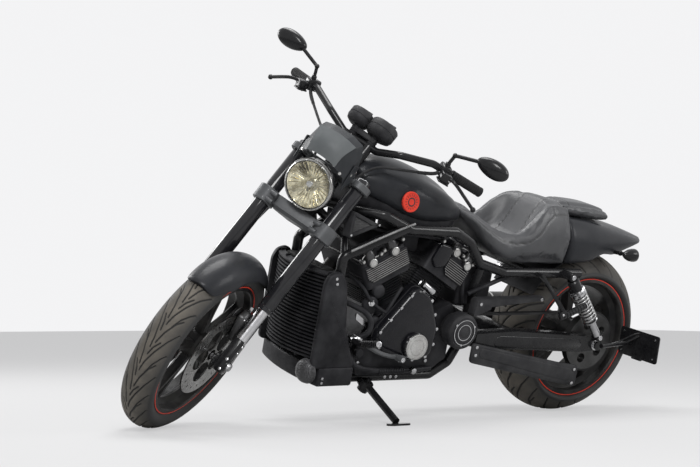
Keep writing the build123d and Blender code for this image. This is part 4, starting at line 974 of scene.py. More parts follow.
def buildCase():
    bm, bright = bmesh.new(), bmesh.new()
    for rib in range(9):
        x = 800 + rib * 31
        addBox(bm, (x, 0, 222 + 4 * (rib % 2)), (7, 262, 12), None, 2, 1)
    for y in (-1, 1):
        for x, z in ((1082, 262), (1094, 330), (1062, 404), (782, 262), (778, 420)):
            addBolt(bright, (x, y * 139, z), (0, y, 0), 6.5, 7)
    addRod(bm, (1090, 140, 300), (1090, 158, 300), 17, sides=6, edge=2)
    addPipe(bm, [(1096, 120, 300), (1112, 138, 284), (1104, 158, 252), (1010, 164, 236), (860, 160, 232),
            (760, 150, 236)], 9, 16)
    for ring in range(15):
        x = 1000 - ring * 7.5
        addRod(bm, (x, 163.8 - ring * 0.1, 236 - ring * 0.03), (x - 3.6, 163.8 - ring * 0.1, 236 - ring * 0.03), 11.4,
                sides=18)
    for x, z, radius in ((1072, 470, 34), (1046, 520, 26), (1040, 402, 30)):
        turned(bm, (x, 139.5, z), (0, 1, 0), [(0, 0), (radius, 0), (radius - 3, 9), (radius - 9, 13), (0, 14)], 36)
    addPipe(bm, [(1150, 96, 470), (1118, 150, 462), (1086, 168, 440), (1070, 172, 404), (1084, 168, 366),
            (1120, 140, 352)], 10, 16)
    addPipe(bm, [(1128, 60, 560), (1118, 146, 540), (1096, 160, 500), (1058, 164, 470), (1020, 168, 452)], 6, 12)
    addPipe(bm, [(1040, 150, 398), (1012, 158, 440), (988, 160, 492), (960, 158, 540)], 7, 12)
    makePiece(bm, "caseRibs", "engine_black", "chassis")
    turned(bright, (1104, 150, 352), (1, 0.12, 0), [(0, -8), (15, -8), (15, 12), (12, 15), (12, 34), (14, 35),
            (14, 44), (0, 44)], 32)
    turned(bright, (1078, 152, 482), (0.2, 1, 0.1), [(0, 0), (12, 0), (12, 8), (8, 9), (8, 16), (0, 16)], 6)
    outline = rounded([(-1132, 446), (-1132, 424), (-1084, 392), (-1074, 408)], 4, 2)
    bridge(bright, [[(-x, y, z) for x, z in outline] for y in (150, 156)])
    addRod(bright, (858, 146, 548), (812, 152, 520), 13, edge=2)
    addRod(bright, (864, 146, 552), (858, 146, 548), 17, sides=6, edge=2)
    addRod(bright, (866, 196, 242), (866, 176, 242), 12, sides=6, edge=2)
    for x in (880, 905, 930):
        addBolt(bright, (x, 96 + 18, 196), (0, 1, 0), 6, 5)
    makePiece(bright, "caseBolts", "steel", "chassis")


buildCovers()
buildCase()


def buildInnerCovers():
    # airbox under the tank, wiring cover ahead of it and dark cover under the seat
    bm = bmesh.new()
    rows = ((1180, 58, 802, 868), (1120, 84, 786, 850), (1060, 126, 766, 826), (1000, 136, 747, 800),
            (900, 138, 745, 782),
            (790, 132, 746, 780), (730, 96, 750, 780))
    rings = []
    for x, half, low, high in rows:
        rings.append([(x, y, z) for y, z in rounded([(half, low), (half, high), (-half, high), (-half, low)], 10, 3)])
    bridge(bm, rings)
    addBox(bm, (1112, 0, 762), (112, 148, 76), None, 8)
    addBox(bm, (588, 27, 535), (158, 168, 160), None, 14, 3)
    addBox(bm, (898, 0, 700), (106, 130, 116), None, 12, 3)
    arch = []
    for k in range(13):
        angle = radians(30 + 3 * k)
        arch.append([(r * cos(angle), y, 325 + r * sin(angle)) for r,
                y in ((345, -112), (345, 112), (349, 112), (349, -112))])
    bridge(bm, arch)
    for side in (-1, 1):
        addRod(bm, (640, 138 * side, 510), (446, 138 * side, 586), 8.5)
        addPipe(bm, bothSides([(1150, 84, 742), (1060, 118, 728), (960, 132, 722), (860, 128, 716), (780, 110, 700)],
                side), 6, 12)
        addPipe(bm, bothSides([(720, 96, 720), (690, 128, 660), (676, 136, 590), (662, 130, 520), (640, 118, 470)],
                side), 7, 12)
    makePiece(bm, "innerCovers", "engine_black", "chassis", smooth=45)
    bm = bmesh.new()
    braid = [(1214, 172, 668), (1150, 176, 698), (1080, 180, 730), (1010, 186, 762), (975, 186, 774)]
    addPipe(bm, braid, 4, 10)
    for a, b in zip(braid, braid[1:]):
        long = (Vector(b) - Vector(a)).length
        for k in range(int(long / 5)):
            at = Vector(a).lerp(Vector(b), (k + 0.5) * 5 / long)
            addRod(bm, at, at + (Vector(b) - Vector(a)).normalized() * 2.6, 4.7, sides=12)
    makePiece(bm, "braidedLine", "spring_steel", "chassis")


buildInnerCovers()
print("stage: engine")


# ---- radiator, its shroud and the horn
cooler = {"front": 1322.0, "half": 150.0, "low": 282.0, "high": 586.0, "ribs": 24, "shroudHalf": 181.5,
        "podIn": 160.4}


def slotFinish(name, colour, roughness, coat, ways, size, depth):
    # paint with ribs along one way, or woven from two
    material = paint(name, colour, tuple(c * 2.2 for c in colour), roughness, 0.3, coat)
    tree = material.node_tree
    relief = None
    for way in ways:
        height = addNode(tree, "Group", {"Way": way, "Scale": size}, node_tree=ribGroup).outputs["Height"]
        relief = height if relief is None else mathNode(tree, "MULTIPLY", relief, height)
    fill(tree, tree.nodes["Principled BSDF"], {"Normal": bumped(tree, relief, 1.0, depth)})
    return material


lengthways, sideways, upright = (1, 0, 0), (0, 1, 0), (0, 0, 1)
looks = {
    "hornWeave": slotFinish("hornWeave", (0.05, 0.05, 0.052), 0.4, 0.2, (sideways, upright), 70.0, 0.0022),
    "scoopMesh": slotFinish("scoopMesh", (0.055, 0.055, 0.056), 0.4, 0.1, (lengthways, upright), 60.0, 0.0025),
    # centre plate of the cowl painted lighter than the darker cowl_paint wings: a painted highlight
    "cowlPlatePaintedHighlight": paint("cowlPlatePaintedHighlight", (0.1, 0.108, 0.112), (0.13, 0.138, 0.142), 0.42, bump=0.1),
    "core": slotFinish("coolerCore", (0.012, 0.012, 0.012), 0.6, 0.0, (sideways,), 110.0, 0.001),
}


def look(piece, name):
    piece.data.materials.clear()
    piece.data.materials.append(looks[name])
    return piece


def buildCooler():
    front, half = cooler["front"], cooler["half"]
    bm = bmesh.new()
    addBox(bm, (front - 70, 0, 430), (44, 232, 322), None, 3)
    for side in (-1, 1):
        addRod(bm, (1240, 108 * side, 570), (1224, 122 * side, 570), 6.5)
    look(makePiece(bm, "coolerCore", "engine_black", "chassis", replaced=("radiator",)), "core")
    bm = bmesh.new()
    step = (cooler["high"] - cooler["low"]) / cooler["ribs"]
    for rib in range(cooler["ribs"]):
        low = cooler["low"] + rib * step
        arc = threeArc((-half, front - 38), (0, front), (half, front - 38), 16)
        rings = []
        for back, rise in ((0, 1.5), (0, 6.5), (26, 12.5), (26, 9.5)):
            rings.append([(x - back, y, low + rise) for y, x in arc])
        loops = [addLoop(bm, ring, False) for ring in rings]
        for (_, first), (_, second) in zip(loops, loops[1:] + loops[:1]):
            bmesh.ops.bridge_loops(bm, edges=first + second)
    bmesh.ops.holes_fill(bm, edges=[e for e in bm.edges if e.is_boundary], sides=4)
    for y in (-149, -75, 0, 75, 149):
        out = front - 6 - 38 * (y / half) ** 2
        addBox(bm, (out - 14, y, 432), (22, 5, cooler["high"] - cooler["low"] + 14), None, 1.2, 1)
    makePiece(bm, "coolerRibs", "engine_black", "chassis")


def buildShroud():
    front, half = cooler["front"], cooler["shroudHalf"]
    bm, bright = bmesh.new(), bmesh.new()
    outline = rounded([(front - 24, 254), (front - 25, 556), (front - 42, 587), (front - 82, 598), (front - 116, 558),
                       (front - 142, 400), (front - 204, 254)], 22, 5)
    for side in (-1, 1):
        steps = ((cooler["podIn"], 7), (cooler["podIn"] + 1, 0), (half - 9, 0), (half - 3, 3), (half, 10))
        stack(bm, [(-x, z) for x, z in outline], steps, side)
        for rib in range(4):
            addBox(bm, (front - 32 - rib, 168 * side, 392 - rib * 34), (22, 15, 5),
                    Matrix.Rotation(radians(14 * side), 4, "Z"), 1.5, 1)
    arc = threeArc((-half, front - 58), (0, front - 29), (half, front - 58), 20)
    chin = rounded([(x, y) for y, x in arc] + [(front - 200, half), (front - 200, -half)], 6, 3)
    rings = []
    for z, shrink in ((191, 9), (194, 3), (199, 0), (252, 0), (257, 2), (260, 6)):
        rings.append([(x, y, z) for x, y in (inset(chin, shrink) if shrink else chin)])
    bridge(bm, rings)
    addRod(bm, (front - 60, 137, 242), (front - 33, 143, 240.4), 8.5)
    makePiece(bm, "coolerShroud", "engine_black", "chassis", smooth=50, replaced=("radiator_shroud",))
    for side in (-1, 1):
        for z in (574, 556):
            addBolt(bright, (front - 62 - (574 - z) * 0.3, half * side, z), (0, side, 0), 5.5, 3)
        for z in (206, 222):
            addBolt(bright, (front - 74, half * side, z), (0, side, 0), 5, 3)
    makePiece(bright, "shroudBolts", "steel", "chassis")


horn = {"at": (1290, 146, 240), "way": (1, 0.22, -0.05), "radius": 41.5, "base": 7.5, "dome": 27.5}


def buildHorn():
    bm = bmesh.new()
    at, way = Vector(horn["at"]), Vector(horn["way"]).normalized()
    radius, base = horn["radius"], horn["base"]
    profile = [(0, 0.2), (41, 0.2), (43.6, 2), (43.6, 5), (radius, base)]
    profile += [(radius * cos(k * pi / 20), base + horn["dome"] * sin(k * pi / 20)) for k in range(1, 10)]
    profile += [(0, base + horn["dome"])]
    turned(bm, at, way, profile, 48)
    look(makePiece(bm, "hornDome", "dark_plastic", "chassis", smooth=60, replaced=("horn",)), "hornWeave")


buildCooler()
buildShroud()
buildHorn()


# ---- headlight: reflector bowl, bulb shade, glass and rim
lamp = {"at": (1367, 0, 887), "radius": 88.0, "rimX": 34.0, "glass": (0.97, 0.98, 0.97),
        "reflector": (0.86, 0.8, 0.62)}


def lampMaterials():
    looks["glass"], tree, shader = newMaterial("lampGlass")
    fill(tree, shader, {"Base Color": lamp["glass"], "Transmission Weight": 1.0, "Roughness": 0.02, "IOR": 1.3})
    looks["reflector"], tree, shader = newMaterial("lampReflector")
    streak = objectNoise(tree, 38.0, 3.0)
    colour = mixColour(tree, ramp(tree, streak, 0.35, 0.65, 0, 1), lamp["reflector"], (0.34, 0.3, 0.2))
    fill(tree, shader, {
        "Base Color": colour, "Metallic": 1.0, "Roughness": 0.16, "Normal": bumped(tree, streak, 0.6, 0.003)})


def buildLamp():
    at = Vector(lamp["at"])
    ahead = Vector((1, 0, 0))
    face = at + ahead * lamp["rimX"]
    radius = lamp["radius"]
    bm = bmesh.new()
    shell = [(0, -62), (30, -56), (52, -42), (70, -24), (82, -4), (radius, 8), (radius, 33), (radius - 1.5, 34),
            (radius - 4, 34),
             (radius - 6, 30), (radius - 12, 12), (radius - 12, 8), (0, 8)]
    turned(bm, at, ahead, shell, 64)
    addBox(bm, (1296, 0, 872), (16, 58, 74), Matrix.Rotation(radians(-34), 4, "Y"), 3)
    makePiece(bm, "lampShell", "frame_paint", "steering", smooth=50, replaced=("headlight_shell",))
    bm = bmesh.new()
    bowl = [(radius - 9, 32.5)] + [(r, 9 + 22 * (r / (radius - 10)) ** 2)
            for r in (72, 62, 52, 42, 32, 22, 14)] + [(0, 9)]
    turned(bm, at, ahead, bowl, 64)
    for k in range(30):
        angle = 2 * pi * k / 30
        out = Vector((0, cos(angle), sin(angle)))
        addRod(bm, at + out * 30 + ahead * 12.5, at + out * 74 + ahead * 29, 1.6, sides=6)
    look(makePiece(bm, "lampReflector", "satin_metal", "steering", smooth=60), "reflector")
    bm = bmesh.new()
    turned(bm, at + ahead * 9, ahead, [(0, 0), (13, 0), (13, 12), (10, 16), (0, 17)], 32)
    addRod(bm, at + Vector((10, 0, -30)), at + Vector((27, 0, -6)), 3)
    makePiece(bm, "lampShade", "steel", "steering")
    bm = bmesh.new()
    glass = [(radius - 2.2, 0.4), (radius - 2.2, 5)]
    dome = [(r, 5 + 18.6 * (1 - (r / (radius - 2.2)) ** 2)) for r in (80, 72, 62, 50, 38, 25, 12)]
    inner = [(r, h - 2.2) for r, h in reversed(dome)]
    turned(bm, face, ahead, glass + dome + [(0, 23.6)], 64)
    turned(bm, face, ahead, [(0, 21.4)] + inner + [(radius - 5, 3.4), (radius - 5, 0.4), (radius - 2.2, 0.4)], 64)
    bmesh.ops.remove_doubles(bm, verts=bm.verts, dist=0.05)
    look(makePiece(bm, "lampGlass", "lens_glass", "steering", smooth=60, replaced=("headlight_lens",)), "glass")
    bm = bmesh.new()
    ring = [(radius - 5.5, 1), (radius - 1.2, 0.5), (radius + 0.8, -3), (radius + 0.8, -13), (radius - 0.2, -15),
            (radius - 0.2, 0.4)]
    turned(bm, face, ahead, ring + ring[:1], 72)
    bmesh.ops.remove_doubles(bm, verts=bm.verts, dist=0.02)
    makePiece(bm, "lampRim", "satin_metal", "steering", smooth=50)


lampMaterials()
buildLamp()


# ---- faceted cowl over the lamp
cowl = {"wall": 3.2, "fold": 3.5, "foldAngle": 9.0, "plateWall": 2.4, "plateLift": 1.5}


def smoothRow(row):
    # across the centre plate: from its left edge over the crown to its right edge
    inner, outer = Vector(row[:3]), Vector(row[3:])
    half = [inner.lerp(outer, t) for t in (1.0, 0.8, 0.5, 0.2)]
    half = [Vector((p.x + 2.5 * (1 - t), p.y, p.z)) for p, t in zip(half, (1.0, 0.8, 0.5, 0.2))]
    crown = Vector((inner.x + 4, 0, inner.z + 1))
    return [tuple(p) for p in half] + [tuple(crown)] + [(p.x, -p.y, p.z) for p in half[::-1]]


def buildCowl():
    bm, bolts = bmesh.new(), bmesh.new()
    # centre plate, shoulders and side wings as folded panels: (x, half width, z) rows from the rim back and up
    rows = [[(1404, 30, 1000), (1400, 58, 990), (1374, 92, 962), (1366, 101, 918)],
            [(1392, 32, 1042), (1384, 62, 1030), (1352, 94, 1000), (1334, 101, 950)],
            [(1352, 34, 1080), (1342, 74, 1066), (1312, 92, 1034), (1300, 100, 960)],
            [(1300, 34, 1081), (1300, 78, 1070), (1296, 90, 1036), (1292, 99, 940)]]
    for side in (-1, 1):
        for a, b in zip(rows, rows[1:]):
            for k in range(3):
                corners = [a[k], a[k + 1], b[k + 1], b[k]]
                verts = [bm.verts.new((x, y * side, z)) for x, y, z in corners]
                bm.faces.new(verts)
    for a, b in zip(rows, rows[1:]):
        verts = [bm.verts.new((a[0][0], a[0][1] * s, a[0][2])) for s in (1, -1)]
        verts += [bm.verts.new((b[0][0], b[0][1] * s, b[0][2])) for s in (-1, 1)]
        bm.faces.new(verts)
    bmesh.ops.remove_doubles(bm, verts=bm.verts, dist=0.1)
    bmesh.ops.recalc_face_normals(bm, faces=bm.faces)
    folds = [e for e in bm.edges if len(e.link_faces) == 2 and e.calc_face_angle(0) > radians(cowl["foldAngle"])]
    bmesh.ops.bevel(bm, geom=folds, offset=cowl["fold"], segments=2, profile=0.5, affect="EDGES", material=-1)
    bmesh.ops.solidify(bm, geom=bm.faces, thickness=cowl["wall"])
    makePiece(bm, "lampCowl", "cowl_paint", "steering", smooth=24, replaced=("headlight_cowl",))
    for side in (-1, 1):
        for x, y, z, way in ((1384, 76, 976, (1, 0.7, 0.3)), (1344, 98, 976, (0.2, 1, 0.1)),
                (1310, 97, 980, (0.1, 1, 0))):
            addBolt(bolts, (x, y * side, z), (way[0], way[1] * side, way[2]), 5.5, 4.5)
        pad = rounded([(-1374, 930), (-1330, 934), (-1306, 1000), (-1344, 1012)], 5, 3)
        pads = bmesh.new()
        stack(pads, pad, ((98, 0), (101, 0), (102, 1)), side)
        makePiece(pads, "cowlPad" + ("Left" if side > 0 else "Right"), "cowl_paint", "steering")
    # raised centre plate; its lighter paint is a painted highlight over the darker wings
    crown, lift = bmesh.new(), cowl["plateLift"]
    grid = [[(x + lift, y, z + lift) for x, y, z in smoothRow(row)]
            for row in smoothTable([sum(r[:2], ()) for r in rows[:3]], 10)]
    loops = [addLoop(crown, ring, False) for ring in grid]
    for (_, first), (_, second) in zip(loops, loops[1:]):
        bmesh.ops.bridge_loops(crown, edges=first + second)
    bmesh.ops.recalc_face_normals(crown, faces=crown.faces)
    bmesh.ops.solidify(crown, geom=crown.faces, thickness=cowl["plateWall"])
    look(makePiece(crown, "cowlPlatePaintedHighlight", "cowl_paint", "steering", smooth=50), "cowlPlatePaintedHighlight")
    makePiece(bolts, "cowlBolts", "satin_metal", "steering")


buildCowl()
print("stage: cooler, horn, lamp and cowl")


# ---- fork: legs, lugs, clamps, calipers, hoses and axle ends
fork = {"angle": 36.0, "half": 121.0, "outer": 28.0, "inner": 21.5, "top": 766.0, "outerLow": 214.0, "lugTop": 95.0}
clamps = {"rake": 34.0, "foot": 1816.0, "levels": ((873.0, 56.0, 68.4, 8, 34), (1072.0, 26.0, 61.4, 0, 28)),
        "boss": 40.0}
caliper = {"outline": [(1644, 372), (1644, 470), (1602, 486), (1564, 452), (1586, 366)],
           "outer": (74, 98.6), "inner": (64.6, 53.2)}


def legAt(t, y, ahead=0.0):
    angle = radians(fork["angle"])
    up, out = Vector((-sin(angle), 0, cos(angle))), Vector((cos(angle), 0, sin(angle)))
    return Vector(frontAxle) + up * t + out * ahead + Vector((0, y, 0))


def legWay():
    return legAt(1, 0) - legAt(0, 0)


def steerPlace(s):
    # across the steering axis: x ahead, y left, z up the axis
    angle = radians(clamps["rake"])
    up, out = Vector((-sin(angle), 0, cos(angle))), Vector((cos(angle), 0, sin(angle)))
    origin = Vector((clamps["foot"], 0, 0)) + up * s
    return Matrix.Translation(origin) @ Matrix((out, Vector((0, 1, 0)), up)).transposed().to_4x4()


def buildLegs():
    tubes, legs, lugs, bright = bmesh.new(), bmesh.new(), bmesh.new(), bmesh.new()
    up = legWay()
    span = fork["top"] - fork["outerLow"]
    for side in (-1, 1):
        y = fork["half"] * side
        r = fork["outer"]
        tube = [(0, 0), (r - 3, 0), (r - 0.6, 2), (r - 0.6, 13), (r - 2.4, 15), (r - 2.4, 20), (r - 0.4, 23),
                (r - 0.4, span - 4),
                (r - 3, span), (r - 9, span), (r - 10, span - 2), (0, span - 2)]
        turned(tubes, legAt(fork["outerLow"], y), up, tube, 48)
        turned(bright, legAt(fork["top"] - 2.5, y), up, [(0, 0), (15, 0), (15, 6), (13, 8), (0, 8)], 6)
        turned(legs, legAt(fork["lugTop"] - 10, y), up, [(0, 0), (fork["inner"], 0), (fork["inner"], 300), (0, 300)],
                48)
        rings = []
        for t, wide, deep in ((-32, 34, 32), (-26, 48, 36), (-6, 57, 39), (34, 57, 39), (66, 50, 39), (86, 48, 39),
                (94, 44, 36)):
            middle = legAt(t, y)
            ahead = legAt(t, y, 1) - middle
            rings.append([middle + ahead * px + Vector((0, py, 0)) for px, py in roundedOutline(wide, deep, 11, 4)])
        bridge(lugs, rings)
        addRod(lugs, Vector(frontAxle) + Vector((0, side * 91, 0)), Vector(frontAxle) + Vector((0, side * 142, 0)),
                24.6, edge=2)
        cap(bright, Vector(frontAxle) + Vector((0, side * 142, 0)), (0, side, 0), 15, 8.6, (0.55,))
        for t in (-22, 16):
            addBolt(bright, legAt(t, y + side * 10, 26), legAt(t, y, 1) - legAt(t, y), 5, 4)
        for t in (52, 78):
            addBolt(bright, legAt(t, y + side * 18.5, 4), (0, side, 0), 5.2, 4)
        for t in (240, 330):
            addRod(lugs, legAt(t, y - side * 4, -20), legAt(t + 13, y - side * 4, -20), 12, sides=16)
        addPipe(lugs, [tuple(legAt(t, y + out * side, back)) for t, out, back in
                       ((96, -22, -58), (130, -12, -44), (190, -6, -34), (300, -5, -34), (420, -5, -38),
                       (520, -16, -44))], 4.2, 12)
    makePiece(tubes, "forkTubes", "fork_black", "steering", replaced=("fork_tubes",))
    makePiece(legs, "forkLegs", "steel", "steering", replaced=("fork_lowers",))
    makePiece(lugs, "forkLugs", "frame_paint", "steering", smooth=40)
    makePiece(bright, "forkBolts", "steel", "steering")


def buildClamps():
    bm, bright = bmesh.new(), bmesh.new()
    for s, depth, ahead, fore, aft in clamps["levels"]:
        base = steerPlace(s - depth / 2)
        up = base.to_3x3() @ Vector((0, 0, 1))
        for side in (-1, 1):
            centre = base @ Vector((ahead, fork["half"] * side, 0))
            r = clamps["boss"] - 0.3
            turned(bm, centre, up, [(28.4, 0), (r - 4, 0), (r, 3), (r, depth - 3), (r - 4, depth), (28.4, depth),
                    (28.4, 0)], 48)
            for share in ((0.25, 0.75) if depth > 40 else (0.5,)):
                at = base @ Vector((ahead + 34, (fork["half"] - 16) * side, depth * share))
                addRod(bm, at, at + Vector((0, -26 * side, 0)), 8, edge=1)
                addBolt(bright, at + Vector((0, 12 * side, 0)), (0, side, 0), 5.5, 4)
        half = fork["half"] - 28
        outline = [(ahead + fore + 6, y) for y in (-half + 10, half - 10)] + [(ahead - 14, half), (-aft, 44),
                (-aft - 2, 0), (-aft, -44), (ahead - 14, -half)]
        outline = rounded(outline, 12, 4)
        rings = []
        for level, shrink in ((0.04, 12), (0.16, 5), (0.3, 0), (0.9, 0), (0.98, 3)):
            rings.append([base @ Vector((x, y, depth * level
                    + (0.22 * depth * (1 - (y / half) ** 2) if level < 0.2 else 0)))
                          for x, y in (inset(outline, shrink) if shrink else outline)])
        bridge(bm, rings)
    top = steerPlace(1072 + 13)
    addRod(bright, top @ Vector((0, 0, 0)), top @ Vector((0, 0, 14)), 17, sides=6, edge=2)
    stem = steerPlace(0)
    addRod(bm, stem @ Vector((0, 0, 900)), stem @ Vector((0, 0, 1060)), 15.5)
    makePiece(bm, "forkClamps", "clamp_metal", "steering", smooth=42, replaced=("fork_clamps",))
    makePiece(bright, "clampBolts", "steel", "steering")


def buildCalipers():
    bm, bright = bmesh.new(), bmesh.new()
    outline = rounded([(-x, z) for x, z in caliper["outline"]], 13, 4)
    for side in (-1, 1):
        for (near, far), shape in ((caliper["outer"], outline), (caliper["inner"], inset(outline, 3))):
            steps = [(near + (far - near) * share, shrink) for share, shrink in ((0, 0), (0.6, 0), (0.85, 3), (1, 9))]
            stack(bm, shape, steps, side)
        for x, z in ((1624, 400), (1606, 446)):
            cap(bm, (x, 97.5 * side, z), (0, side, 0), 15, 3.2, (0.6,), 28)
        for x, z in ((1634, 380), (1634, 462), (1578, 456), (1594, 376)):
            addBolt(bright, (x, 95 * side, z), (0, side, 0), 4.6, 4)
        addRod(bright, (1586, 84 * side, 474), (1580, 84 * side, 490), 6, sides=6, edge=1)
    makePiece(bm, "frontCalipers", "caliper_metal", "steering", replaced=("front_calipers",))
    makePiece(bright, "caliperBolts", "steel", "steering")


buildLegs()
buildClamps()
buildCalipers()


# ---- bar: grips, controls, levers, mirrors, instruments and cables
bar = {"gripStart": (1016, 306, 1050), "gripEnd": (934, 407, 1023), "ribs": 13}


def gripFrame(side):
    start, end = sided(bar["gripStart"], side), sided(bar["gripEnd"], side)
    inward = Vector((1062, 250 * side, 1064)) - start
    away = inward.normalized()
    return start, end, away, away.cross(Vector((0, 0, -side))).normalized()


def buildBarEnds():
    rubber, dark, bright = bmesh.new(), bmesh.new(), bmesh.new()
    for side in (-1, 1):
        start, end, away, ahead = gripFrame(side)
        way = (end - start).normalized()
        long = (end - start).length
        profile = [(0, 6), (17.6, 6), (17.6, 13), (15.4, 15)]
        pitch = (long - 26) / bar["ribs"]
        for rib in range(bar["ribs"]):
            low = 16 + rib * pitch
            profile += [(15.4, low), (17.4, low + 1.2), (17.4, low + pitch - 2.6), (15.4, low + pitch - 1.4)]
        turned(rubber, start, way, profile + [(17.6, long - 6), (17.6, long + 2), (15, long + 4), (0, long + 4)], 40)
        rise = ahead.cross(away) * side
        turn = Matrix((ahead, rise, ahead.cross(rise))).transposed().to_4x4()
        addBox(dark, start + away * 26, (48, 42, 40), turn, 7, 3)
        tankAt = start + away * 27 + ahead * 41 + rise * 7
        addBox(dark, tankAt, (32, 30, 40), turn, 4, 2)
        addBox(dark, tankAt + rise * 18, (35, 6, 42), turn, 2, 2)
        for k in (-1, 1):
            addBolt(bright, tankAt + rise * 20.5 + (ahead.cross(rise)) * 15 * k, rise, 3, 2)
        addBolt(bright, start + away * 26 + rise * 20.5, rise, 4, 2)
        addBox(dark, start + away * 20 - rise * 17 + ahead * 4, (16, 13, 12), turn, 2, 1)
        hinge = start + away * 12 + ahead * 52
        tip = Vector((1039, 442 * side, 995))
        knee = start + ahead * 74 - away * 6
        addPipe(dark, [tuple(start + away * 24 + ahead * 44), tuple(hinge), tuple(knee),
                tuple(knee.lerp(tip, 0.5) + ahead * 3),
                       tuple(tip)], 6.4, 12, 8)
        bmesh.ops.create_uvsphere(dark, u_segments=16, v_segments=10, radius=9.6, matrix=Matrix.Translation(tip))
        cap(bright, hinge + rise * 7, rise, 8, 4, (0.5,), 24)
    makePiece(rubber, "gripRubbers", "grip_rubber", "steering", smooth=50, replaced=("grips",))
    makePiece(dark, "handControls", "frame_paint", "steering", smooth=45, replaced=("hand_controls",))
    makePiece(bright, "controlBolts", "steel", "steering")


mirror = {"at": (1034, 432, 1153), "half": (61.4, 35.6), "way": (-1, 0, -0.12)}


def buildMirrors():
    heads, glasses = bmesh.new(), bmesh.new()
    wide, tall = mirror["half"]
    for side in (-1, 1):
        middle = sided(mirror["at"], side)
        back = Vector(mirror["way"]).normalized()
        up = back.cross(Vector((0, 1, 0))).normalized()
        up = up if up.z > 0 else -up
        rings = []
        for depth, share in ((15.6, 0.93), (15.6, 0.985), (12, 1.0), (2, 0.985), (-6, 0.88), (-11, 0.66),
                (-14.6, 0.34), (-15.6, 0.08)):
            ring = []
            for k in range(40):
                angle = 2 * pi * k / 40
                across, high = cos(angle), sin(angle)
                taper = 1 - 0.2 * (1 - across) / 2
                ring.append(middle + back * depth + Vector((0, side * across * wide * share, 0))
                        + up * high * tall * share * taper)
            rings.append(ring)
        bridge(heads, rings)
        face = [middle + back * 15.9 + Vector((0, side * cos(a) * 55, 0))
                + up * sin(a) * 31 * (1 - 0.1 * (1 - cos(a)))
                for a in (2 * pi * k / 40 for k in range(40))]
        bridge(glasses, [face, [p - back * 2 for p in face]])
        foot, elbow, top = Vector((1040, 290 * side, 1084)), Vector((1040, 298 * side, 1124)), Vector((1030,
                384 * side, 1150))
        addPipe(heads, [tuple(foot), tuple(foot.lerp(elbow, 0.7)), tuple(elbow), tuple(elbow.lerp(top, 0.3)),
                tuple(top)], 6.8, 12, 8)
        addRod(heads, foot - Vector((0, 0, 14)), foot + Vector((0, 0, 6)), 10, sides=6, edge=1.5)
        bmesh.ops.create_uvsphere(heads, u_segments=16, v_segments=10, radius=9, matrix=Matrix.Translation(elbow))
    makePiece(heads, "mirrorHeads", "frame_paint", "steering", smooth=50, replaced=("mirrors",))
    makePiece(glasses, "mirrorGlasses", "steel", "steering", smooth=50)


pods = {"at": (1104, 0, 1072), "way": (-0.62, 0, 0.78), "list": ((-46, 44, 26), (46, 52, 29))}


def buildPods():
    dark, faces = bmesh.new(), bmesh.new()
    at, way = Vector(pods["at"]), Vector(pods["way"]).normalized()
    for y, radius, half in pods["list"]:
        low = at + Vector((0, y, 0)) - way * half
        turned(dark, low, way, [(0, 0), (radius * 0.62, 0), (radius * 0.9, 7), (radius, 18), (radius, half),
                (radius - 1.4, half + 1),
                                (radius - 1.4, half + 3), (radius, half + 4), (radius, 2 * half - 5),
                                (radius - 4, 2 * half),
                                (radius - 8, 2 * half - 1), (radius - 9, 2 * half - 5), (0, 2 * half - 5)], 56)
        turned(faces, low + way * (2 * half - 5), way, [(0, 0), (radius - 10, 0), (radius - 10, 2.5), (0, 3.2)], 48)
        addBox(dark, at + Vector((0, y, 0)) + way * (half + 1), (radius * 1.2, radius, 8), None, 2, 1)
    for y in (-38, 38):
        addRod(dark, (1128, y, 1012), (1112, y, 1050), 15, edge=2)
        for k in range(5):
            low = Vector((1128, y, 1012)).lerp(Vector((1112, y, 1050)), 0.15 + k * 0.17)
            addRod(dark, low, low + way * 3, 17.5, sides=20, edge=0.8)
    addBox(dark, (1118, 0, 1034), (30, 104, 22), Matrix.Rotation(radians(-38), 4, "Y"), 5, 2)
    makePiece(dark, "instrumentPods", "dark_plastic", "steering", smooth=45, replaced=("instruments",))
    makePiece(faces, "instrumentFaces", "gloss_cover", "steering")


cable = {"route": [(1068, 262, 1032), (1140, 180, 1010), (1204, 100, 990), (1245, 83.2, 922.7)], "radius": 4.8}


def buildCables():
    for side, name in ((1, "cableLeft"), (-1, "cableRight")):
        curve = bpy.data.curves.new(name, "CURVE")
        curve.dimensions = "3D"
        curve.bevel_depth = cable["radius"] / 1000
        curve.bevel_resolution = 3
        curve.use_fill_caps = True
        spline = curve.splines.new("NURBS")
        spline.points.add(len(cable["route"]) - 1)
        for point, (x, y, z) in zip(spline.points, cable["route"]):
            point.co = (*(steeringPlace @ Vector((x, y * side, z))), 1)
        spline.use_endpoint_u = True
        spline.order_u = 3
        spline.resolution_u = 12
        curve.materials.append(finishes["belt_rubber"])
        piece = bpy.data.objects.new(name, curve)
        bpy.context.scene.collection.objects.link(piece)
        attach(piece, "steering")
    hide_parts("cables")
    bm = bmesh.new()
    for side in (-1, 1):
        addPipe(bm, bothSides([(1040, 288, 1058), (1050, 280, 1046), (1068, 262, 1032), (1086, 241.5, 1026.5)], side),
                6.5, 12)
        addRod(bm, (1084, 243.8 * side, 1027), (1100, 225.5 * side, 1022), 5.8, sides=16, edge=1)
    makePiece(bm, "cableElbows", "belt_rubber", "steering")


buildBarEnds()
buildMirrors()
buildPods()
buildCables()


# ---- tank badge and the meshed side scoops
badge = {"at": (995, 165, 845), "way": (0, 1, 0.12), "radius": 35.6, "rays": 16}
scoop = {"outline": [(1226, 806), (1104, 758), (1232, 708)], "inner": 128.4, "outer": 167.4}


